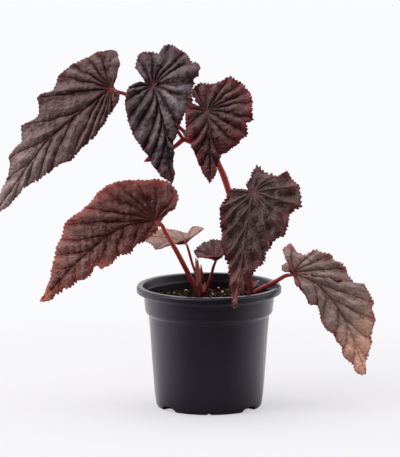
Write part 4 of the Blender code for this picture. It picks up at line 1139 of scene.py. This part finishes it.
# Valleys darker and hills paler: partly the leaf's own colour, partly painted shade in the valleys and painted sheen on
# the crests; Crest narrows the pale crests.
shade = maths(g, "ADD", start["Hill"], spread(g, mottle, 0.3, 0.7, -0.4, 0.4))
shade = maths(g, "SUBTRACT", shade, start["Crest"])
tone = mixed(g, spread(g, shade, 0.0, 0.65), start["Valley Colour"], start["Hill Colour"])
tone = mixed(g, spread(g, fine, 0.40, 0.70, 0.0, 0.40), tone, start["Valley Colour"])
tip_mask = spread(g, maths(g, "ADD", start["Onward"], spread(g, mottle, 0.3, 0.7, -0.06, 0.06)),
                  start["Tip Reach"], 1.0)
tone = mixed(g, tip_mask, tone, start["Tip Colour"])
tone = mixed(g, maths(g, "MULTIPLY", net_line, 0.35), tone, start["Vein Colour"])
tone = mixed(g, spread(g, start["Heart"], 0.05, 0.75, 0.0, 0.8), tone, start["Heart Colour"])
tone = mixed(g, maths(g, "MULTIPLY", spread(g, start["Vein"], 0.1, 0.9), start["Vein Strength"]), tone,
             start["Vein Colour"])
# Painted light and shade: the colour is multiplied by the spot factor, more strongly in green and blue, so lit spots
# turn greyer and shaded ones redder.
painted_light_green_blue = maths(g, "POWER", start["Painted_Light"], 1.3)
painted_light_tint = put(g, "ShaderNodeCombineColor", {0: start["Painted_Light"], 1: painted_light_green_blue, 2: painted_light_green_blue}).outputs[0]
tone = mixed(g, 1.0, tone, painted_light_tint, "MULTIPLY")
rim_mask = maths(g, "MULTIPLY", start["Rim"], spread(g, mottle, 0.25, 0.55, 0.6, 1.0), clamp=True)
tone = mixed(g, rim_mask, tone, start["Rim Colour"])
# Dark pin-prick dots: painted shade of small pits and hairs in the skin.
tone = mixed(g, maths(g, "MULTIPLY", dot_mask, 0.75), tone, colour(0.012, 0.006, 0.006))
tone = mixed(g, spread(g, start["Joint"], 0.0, 0.9), tone, colour(0.22, 0.010, 0.018))
below = mixed(g, spread(g, mottle, 0.3, 0.7), start["Under Colour"], colour(0.20, 0.030, 0.045))
below = mixed(g, spread(g, start["Vein"], 0.2, 0.8, 0.0, 0.8), below, colour(0.34, 0.040, 0.045))
tone = mixed(g, start["Under"], tone, below)
g.links.new(tone, end["Color"])
rough = maths(g, "ADD", spread(g, mottle, 0.3, 0.7, 0.36, 0.46), maths(g, "MULTIPLY", start["Vein"], 0.06))
g.links.new(rough, end["Roughness"])
grain = maths(g, "MULTIPLY", fine, 0.8)
g.links.new(maths(g, "SUBTRACT", grain, maths(g, "MULTIPLY", net_line, 0.9)), end["Height"])


def leaf_material(name, style):
    """Make one leaf's material: the shared skin with this leaf's own colours."""
    material, tree, shader = new_material(name)
    inputs = {"Plane": put(tree, "ShaderNodeUVMap", uv_map="plane").outputs[0]}
    for label in ("vein", "hill", "rim", "onward", "joint", "heart", "under", "painted_light"):
        inputs[label.title()] = put(tree, "ShaderNodeAttribute", attribute_name=label).outputs["Fac"]
    for label, value in zip(("Valley", "Hill", "Vein", "Rim", "Tip", "Heart", "Under"), style["colours"]):
        inputs[label + " Colour"] = colour(*value)
    inputs["Dots"] = style["dots"]
    inputs["Tip Reach"] = style["tip_reach"]
    inputs["Vein Strength"] = style["line"]
    inputs["Crest"] = style["crest"]
    out = use_group(tree, leaf_group, inputs)
    join(tree, shader, out["Color"], out["Roughness"], out["Height"], distance=0.12 * MM, strength=0.8)
    shader.inputs["Specular IOR Level"].default_value = style["gloss"]
    shader.inputs["Specular Tint"].default_value = colour(*style["sheen"])
    return material

# %% [markdown]
# ## Eight leaves
#
# Each leaf gets a style: how deep its pleats and veins are, how it is toothed, how far its
# crimson edge reaches, and its colours. The lists were tuned against the photo, leaf by leaf.

# %% Leaf styles
UNDERSIDE = (0.11, 0.012, 0.022)
WARM = (1.0, 0.86, 0.86)
# Each style's list of light spots (x, height, radius, amount) paints light where the amount is above zero and shade
# where it is below.
LEAF_STYLES = {
    # Here the tip colour is a pale grey-brown: painted sheen that grows towards the tip, where the blade lies more
    # level.
    "top_left": dict(
        step=0.60, columns=40, seed=1, pleat=1.6, groove=0.55, vein=1.0, cell=3.4, pucker=0.34, rungs=0.18,
        ruffle=1.0, warp=0.9, tooth=3.4, teeth=(0.8, 1.7), lobes=(0.9, 1.1), lobe_width=2.5, rim=1.2, patch=5.6,
        patches=1.0, spot=(2.6, 0.9), heart=(22.0, 0.45), dots=1.0, tip_reach=0.30, crest=0.0, line=0.8,
        gloss=0.32, sheen=WARM, painted_light=[(-150, 190, 26, 0.2), (-92, 254, 12, -0.3)], blush=[],
        colours=[(0.055, 0.024, 0.023), (0.165, 0.100, 0.096), (0.036, 0.006, 0.006), (0.085, 0.008, 0.010),
                 (0.30, 0.205, 0.190), (0.050, 0.006, 0.007), UNDERSIDE]),
    "top_middle": dict(
        step=0.55, columns=38, seed=2, pleat=2.4, groove=0.45, vein=1.0, cell=3.8, pucker=0.34, rungs=0.18,
        ruffle=0.9, warp=1.0, tooth=2.9, teeth=(1.5, 1.2), lobes=(1.0, 0.5), lobe_width=2.6, rim=2.2, patch=5.0,
        patches=0.8, spot=(2.2, 0.45), heart=(13.0, 0.3), dots=0.8, tip_reach=0.75, crest=0.25, line=0.55,
        gloss=0.27, sheen=(1.0, 0.95, 1.0), blush=[(-15.2, 276, 3, 0.9), (-54, 212, 4, 0.5), (-58, 284, 5, 0.4)],
        painted_light=[(-29, 248, 14, 0.9), (-60, 246, 13, -0.65), (-48, 281, 9, -0.55), (-26, 289, 8, -0.5),
               (-36, 196, 10, -0.25), (-41, 226, 11, 0.35), (-60, 222, 8, 0.3)],
        colours=[(0.024, 0.009, 0.009), (0.110, 0.080, 0.088), (0.020, 0.006, 0.007), (0.065, 0.006, 0.010),
                 (0.16, 0.07, 0.06), (0.040, 0.006, 0.008), UNDERSIDE]),
    "top_right": dict(
        step=0.55, columns=36, seed=3, pleat=2.0, groove=0.45, vein=0.85, cell=3.0, pucker=0.36, rungs=0.24,
        ruffle=1.0, warp=0.9, tooth=3.0, teeth=(1.6, 1.1), lobes=(1.2, 0.6), lobe_width=2.6, rim=4.2, patch=6.5,
        patches=0.9, spot=(2.0, 0.6), heart=(15.0, 0.6), dots=0.3, tip_reach=0.7, crest=0.30, line=0.45,
        gloss=0.26, sheen=WARM, painted_light=[(5.8, 241, 8, -0.3), (2, 188, 6, 0.6)], blush=[(34.5, 236, 3, 0.7)],
        colours=[(0.034, 0.008, 0.007), (0.125, 0.050, 0.046), (0.022, 0.004, 0.004), (0.120, 0.010, 0.014),
                 (0.20, 0.08, 0.065), (0.030, 0.011, 0.011), UNDERSIDE]),
    "right_front": dict(
        step=0.58, columns=38, seed=4, pleat=-1.3, groove=-0.45, vein=0.9, cell=3.2, pucker=0.32, rungs=0.15,
        ruffle=1.2, warp=0.9, tooth=3.2, teeth=(1.4, 1.1), lobes=(1.3, 0.5), lobe_width=2.8, rim=3.0, patch=7.0,
        patches=0.8, spot=(1.9, 0.5), heart=(5.0, 0.2), dots=0.3, tip_reach=0.40, crest=0.20, line=0.60,
        gloss=0.32, sheen=(1.0, 0.92, 0.95), painted_light=[(16, 168, 8, 1.1), (68, 182, 7, 0.4)], blush=[(58, 154, 4, 0.35)],
        colours=[(0.056, 0.020, 0.018), (0.028, 0.007, 0.006), (0.115, 0.068, 0.064), (0.115, 0.010, 0.014),
                 (0.22, 0.052, 0.046), (0.10, 0.02, 0.025), UNDERSIDE]),
    "low_left": dict(
        step=0.60, columns=40, seed=5, pleat=1.2, groove=0.42, vein=1.1, cell=3.0, pucker=0.50, rungs=0.24,
        ruffle=1.1, warp=1.0, tooth=3.6, teeth=(1.1, 2.0), lobes=(0.8, 1.8), lobe_width=3.0, rim=4.6, patch=8.0,
        patches=0.8, spot=(2.4, 0.7), heart=(46.0, 0.65), dots=0.0, tip_reach=0.84, crest=0.05, line=0.35,
        gloss=0.20, sheen=WARM,
        painted_light=[(-92, 141, 18, -0.25), (-106, 120, 12, 0.5), (-32, 169, 9, 0.9), (-70, 165, 16, -0.1)], blush=[],
        colours=[(0.085, 0.024, 0.021), (0.225, 0.110, 0.097), (0.046, 0.007, 0.007), (0.36, 0.085, 0.072),
                 (0.72, 0.27, 0.14), (0.062, 0.009, 0.008), UNDERSIDE]),
    "low_right": dict(
        step=0.58, columns=38, seed=6, pleat=1.2, groove=0.40, vein=0.9, cell=3.2, pucker=0.34, rungs=0.16,
        ruffle=1.1, warp=0.9, tooth=3.2, teeth=(1.6, 1.6), lobes=(1.6, 0.9), lobe_width=2.8, rim=1.5, patch=5.0,
        patches=0.8, spot=(2.0, 0.3), heart=(7.0, 0.2), dots=0.4, tip_reach=0.45, crest=0.0, line=0.45,
        gloss=0.26, sheen=WARM, painted_light=[], blush=[],
        colours=[(0.200, 0.116, 0.098), (0.350, 0.240, 0.215), (0.105, 0.048, 0.042), (0.26, 0.030, 0.036),
                 (0.90, 0.48, 0.34), (0.14, 0.05, 0.045), UNDERSIDE]),
    "young_left": dict(
        step=0.5, columns=22, seed=7, pleat=0.5, groove=0.20, vein=0.5, cell=2.2, pucker=0.14, rungs=0.1,
        ruffle=0.3, warp=0.3, tooth=2.6, teeth=(0.8, 0.7), lobes=(0.5, 0.4), lobe_width=2.0, rim=1.0, patch=2.5,
        patches=0.6, spot=(1.8, 0.5), heart=(4.0, 0.2), dots=0.2, tip_reach=0.9, crest=0.0, line=0.5,
        gloss=0.26, sheen=WARM, painted_light=[], blush=[],
        colours=[(0.22, 0.105, 0.080), (0.36, 0.205, 0.170), (0.13, 0.045, 0.038), (0.20, 0.015, 0.030),
                 (0.28, 0.16, 0.14), (0.16, 0.05, 0.045), (0.15, 0.010, 0.018)]),
    "young_middle": dict(
        step=0.5, columns=22, seed=8, pleat=0.6, groove=0.22, vein=0.5, cell=2.2, pucker=0.18, rungs=0.1,
        ruffle=0.3, warp=0.3, tooth=2.8, teeth=(0.5, 0.8), lobes=(0.4, 0.5), lobe_width=2.0, rim=1.3, patch=3.0,
        patches=0.8, spot=(1.8, 0.5), heart=(4.0, 0.2), dots=0.0, tip_reach=0.9, crest=0.0, line=0.5,
        gloss=0.26, sheen=WARM, painted_light=[], blush=[],
        colours=[(0.060, 0.018, 0.018), (0.155, 0.075, 0.072), (0.040, 0.005, 0.006), (0.050, 0.003, 0.008),
                 (0.12, 0.07, 0.07), (0.05, 0.008, 0.01), (0.050, 0.0015, 0.003)]),
}

# %% Grow the leaves
joints = {}
for name, leaf in LEAVES.items():
    style = LEAF_STYLES[name]
    skin = leaf_material(f"skin_{name}", style)
    joints[name] = grow_leaf(name, leaf, style, skin)

# %% [markdown]
# ## Leaf stalks
#
# A stalk leaves the stem at a node, bends, and ends under the blade, where it widens a little.
# Its route was measured in the photo. It starts on the axis of the stem that carries it, so it
# always grows out of it, and it ends just inside the blade at the joint.

# %% Stalk routes
STALKS = {
    # name: (route of (x, height, y, radius), colour at the stem, colour at the blade)
    "top_left": ([(-15, 216.5, 10, 1.6), (-22, 226, 14, 1.6), (-44, 244.4, 21, 1.6), (-67, 254.8, 25, 1.6),
                  (-75, 257.3, 25.5, 1.5)], (0.26, 0.014, 0.026), (0.26, 0.014, 0.030)),
    "top_middle": ([(-21, 218, 9, 1.5), (-29, 230, 8, 1.5), (-38, 247, 8, 1.5)],
                   (0.30, 0.016, 0.03), (0.30, 0.016, 0.03)),
    "top_right": ([(2, 210, 9, 1.5), (-3, 222, 1, 1.5), (-5, 233, -4, 1.5)],
                  (0.32, 0.016, 0.03), (0.30, 0.016, 0.03)),
    "right_front": ([(24.5, 141, 4, 1.7), (29, 151, -9, 1.6), (33, 166, -20, 1.6)],
                    (0.28, 0.012, 0.02), (0.30, 0.014, 0.024)),
    "low_left": ([(-8, 92, 2, 2.1), (-13.2, 100.5, 1, 2.1), (-19.4, 112.5, -1.5, 2.1), (-26.6, 126, -5, 2.0),
                  (-35.4, 141, -10, 1.8), (-39, 148, -11, 1.6)], (0.20, 0.008, 0.012), (0.88, 0.11, 0.08)),
    "low_right": ([(34.5, 90.5, 2, 1.9), (42, 95.2, 4, 1.9), (50, 99, 5.5, 1.9), (57, 102.8, 6, 1.8),
                   (63, 106.2, 6.5, 1.7)], (0.16, 0.008, 0.011), (0.42, 0.034, 0.038)),
    "young_left": ([(-7.4, 99, 3, 1.1), (-11, 108.5, 5, 1.1), (-14, 117, 7, 1.1), (-16.5, 126, 8, 1.1)],
                   (0.30, 0.014, 0.022), (0.70, 0.060, 0.075)),
    "young_middle": ([(-3.2, 90, 2, 1.3), (-0.7, 98.6, 2, 1.25), (2.0, 107, 1, 1.2), (3.8, 114, 0, 1.2)],
                     (0.13, 0.006, 0.012), (0.20, 0.010, 0.028)),
}
for name, (route, low, high) in STALKS.items():
    joint, outward = joints[name]
    end_radius = 0.75 * route[-1][3] * MM
    end = joint - outward * 1.2 * end_radius
    corners = np.column_stack([real_points(route), np.array(route)[:, 3] * MM])
    line = smooth_line(np.vstack([corners, [*end, end_radius]]), 20)
    tint = stem_material(f"stalk_red_{name}", colour(*low), colour(*high))
    stem_piece(f"petiole_{name}", line[:, :3], line[:, 3], tint, [f"stalk_{name}"],
               columns=24, values={"scar": 0.0 * line[:, 3]})

# %% [markdown]
# ## Stipules and the bud
#
# Where each leaf comes out, the plant keeps a papery pointed scale. A scale is a thin shell:
# a centre line, a width that swells and then narrows to a point, and a shallow cup across. The
# bud at the end of the cane is a rounder version of the same idea.

# %% Scales
STIPULES = {
    # name: (route of (x, height, y, half width), foot colour, tip colour)
    "crown_stipule_front": ([(-8.6, 99.6, 0.0, 1.5), (-8.9, 106, -1.6, 2.5), (-9.9, 114, -3, 1.5),
                             (-11.2, 121, -3.6, 0.3)], (0.52, 0.17, 0.12), (0.66, 0.22, 0.20)),
    "crown_stipule_right": ([(-6.6, 99.8, 1.2, 1.1), (-6.2, 106, 1.0, 1.7), (-6.6, 115.5, 0.6, 0.3)],
                            (0.42, 0.05, 0.045), (0.62, 0.14, 0.13)),
    "crown_stipule_back": ([(-8.6, 101.3, 4.3, 1.2), (-8.6, 109, 6.2, 1.5), (-9.4, 120.4, 7, 0.3)],
                           (0.34, 0.03, 0.03), (0.64, 0.22, 0.20)),
    "crown_scale_low": ([(-4.3, 93.0, -2.4, 0.9), (-4.0, 96, -2.2, 1.5), (-3.0, 100.6, -1.6, 0.3)],
                        (0.30, 0.06, 0.05), (0.50, 0.16, 0.13)),
    "cane_base_stipule": ([(35.6, 96.2, 3.4, 0.8), (37.4, 99.2, 4.6, 1.8), (41.4, 102.4, 6.5, 0.3)],
                          (0.46, 0.16, 0.10), (0.62, 0.52, 0.44)),
    "upper_stipule": ([(-18.7, 220.3, 8.6, 1.0), (-20, 223.5, 7.6, 1.5), (-18.5, 227, 7, 0.3)],
                      (0.40, 0.34, 0.32), (0.50, 0.45, 0.42)),
    "upper_stipule_thin": ([(-16.4, 219.5, 9.2, 0.7), (-16.4, 223, 8.6, 0.7), (-16.6, 225.5, 8, 0.3)],
                           (0.45, 0.16, 0.14), (0.55, 0.42, 0.38)),
}


def scale_material(name, foot, tip):
    """Make a papery finish that goes from the foot colour to the tip colour, with fine streaks."""
    material, tree, shader = new_material(name)
    place = put(tree, "ShaderNodeUVMap", uv_map="plane").outputs[0]
    along = put(tree, "ShaderNodeAttribute", attribute_name="along").outputs["Fac"]
    stretched = put(tree, "ShaderNodeMapping", {"Vector": place, "Scale": (26.0, 1.2, 1.0)}).outputs[0]
    streak = noise(tree, stretched, 2.0, 3.0)
    base = mixed(tree, along, colour(*foot), colour(*tip))
    base = mixed(tree, spread(tree, streak, 0.45, 0.75, 0.0, 0.5), base, colour(0.26, 0.02, 0.02))
    join(tree, shader, base, spread(tree, streak, 0.3, 0.7, 0.45, 0.65), streak, distance=0.08 * MM)
    return material


def scale_piece(name, route, foot, tip, plump=0.30):
    """Carry a flattened, cupped ellipse along the route and close its ends."""
    line = smooth_line(route, 10)
    points = real_points(line)
    side, front = stem_frames(points)
    columns = 20
    angle = np.arange(columns) * 2 * math.pi / columns
    width = line[:, 3, None] * MM
    depth = np.minimum(width, plump * MM)
    cup = -0.35 * width * (1 - np.cos(angle) ** 2) * 0.6
    grid = (points[:, None] + side[:, None] * (width * np.cos(angle))[..., None]
            + front[:, None] * (depth * np.sin(angle) - cup)[..., None])
    along = travelled(points) / travelled(points)[-1]
    values = {"along": np.concatenate([np.repeat(along, columns), along[[0, -1]]])}
    around = np.concatenate([np.tile(np.cos(angle) / 2 + 0.5, len(points)), [0.5, 0.5]])
    lengthwise = np.concatenate([np.repeat(along, columns), [0, 1]])
    return add_piece(f"scale_{name}" if name != "tip_bud" else "pink_bud", close_tube(grid),
                     tube_faces(len(points), columns), scale_material(f"paper_{name}", foot, tip),
                     [name], values, np.stack([around, lengthwise], axis=1))


for name, (route, foot, tip) in STIPULES.items():
    scale_piece(name, route, foot, tip)
TIP_BUD = [(-46.5, 203.1, -0.9, 1.3), (-47.5, 202.7, -1.2, 1.5), (-50, 201.7, -2.2, 2.1), (-53.5, 200, -3.4, 0.3)]
scale_piece("tip_bud", TIP_BUD, (0.34, 0.02, 0.05), (0.42, 0.03, 0.07), plump=1.5)

# %% [markdown]
# ## The floor
#
# The last thing is the pale sweep: one wide disc that is not attached to the plant.

# %% Sweep
floor_mesh = bpy.data.meshes.new("floor")
floor_grid = turned_grid([(12.0, -0.0002), (1.0, -0.0002), (0.001, -0.0002)], 96)
floor_mesh.from_pydata(close_tube(floor_grid).tolist(), [], [f[::-1] for f in tube_faces(3, 96)[:-192]] +
                       [[2 * 96 + i, 2 * 96 + (i + 1) % 96, 3 * 96 + 1] for i in range(96)])
floor = bpy.data.objects.new("floor", floor_mesh)
bpy.context.scene.collection.objects.link(floor)
floor_material, tree, shader = new_material("sweep")
place = put(tree, "ShaderNodeTexCoord").outputs["Object"]
seen = put(tree, "ShaderNodeLightPath").outputs["Is Camera Ray"]
pale = mixed(tree, spread(tree, noise(tree, place, 3.0), 0.3, 0.7), colour(0.575, 0.565, 0.59), colour(0.595, 0.585, 0.61))
from_pot = put(tree, "ShaderNodeVectorMath", {0: place}, operation="LENGTH").outputs["Value"]
# Painted reflection: rays that are not from the camera see this floor colour, bright behind and beside the pot and dark
# in front of it, darkest farther out, so the black pot reflects pale edges beside a dark front; the floor's bounce
# light is toned down too.
painted_reflection_front = mixed(tree, spread(tree, from_pot, 0.14, 0.30), colour(0.30, 0.295, 0.31), colour(0.06, 0.06, 0.065))
turned = put(tree, "ShaderNodeVectorMath", {0: place}, operation="NORMALIZE").outputs["Vector"]
backwards = put(tree, "ShaderNodeSeparateXYZ", {0: turned}).outputs["Y"]
painted_reflection = mixed(tree, spread(tree, backwards, -0.95, 0.35), painted_reflection_front, colour(0.92, 0.91, 0.93))
pale = mixed(tree, seen, painted_reflection, pale)
join(tree, shader, pale)
shader.inputs["Roughness"].default_value = 0.9
shader.inputs["Specular IOR Level"].default_value = 0.1
# Painted glow: to the camera the floor is mostly an emission, more so farther from the pot, which lightens the real
# shadow; near the pot its colour is a darker lavender, a painted shadow round the pot.
far = maths(tree, "MULTIPLY", spread(tree, from_pot, 0.08, 0.45, 0.55, 1.0), seen)
glow_colour_with_painted_shadow = mixed(tree, spread(tree, from_pot, 0.08, 0.50), colour(0.895, 0.887, 0.920), colour(0.960, 0.962, 0.975))
painted_glow = put(tree, "ShaderNodeEmission", {"Color": glow_colour_with_painted_shadow, "Strength": 1.0})
sweep = put(tree, "ShaderNodeMixShader", {0: far, 1: shader.outputs[0], 2: painted_glow.outputs[0]})
tree.links.new(sweep.outputs[0], tree.nodes["Material Output"].inputs["Surface"])
floor_mesh.materials.append(floor_material)
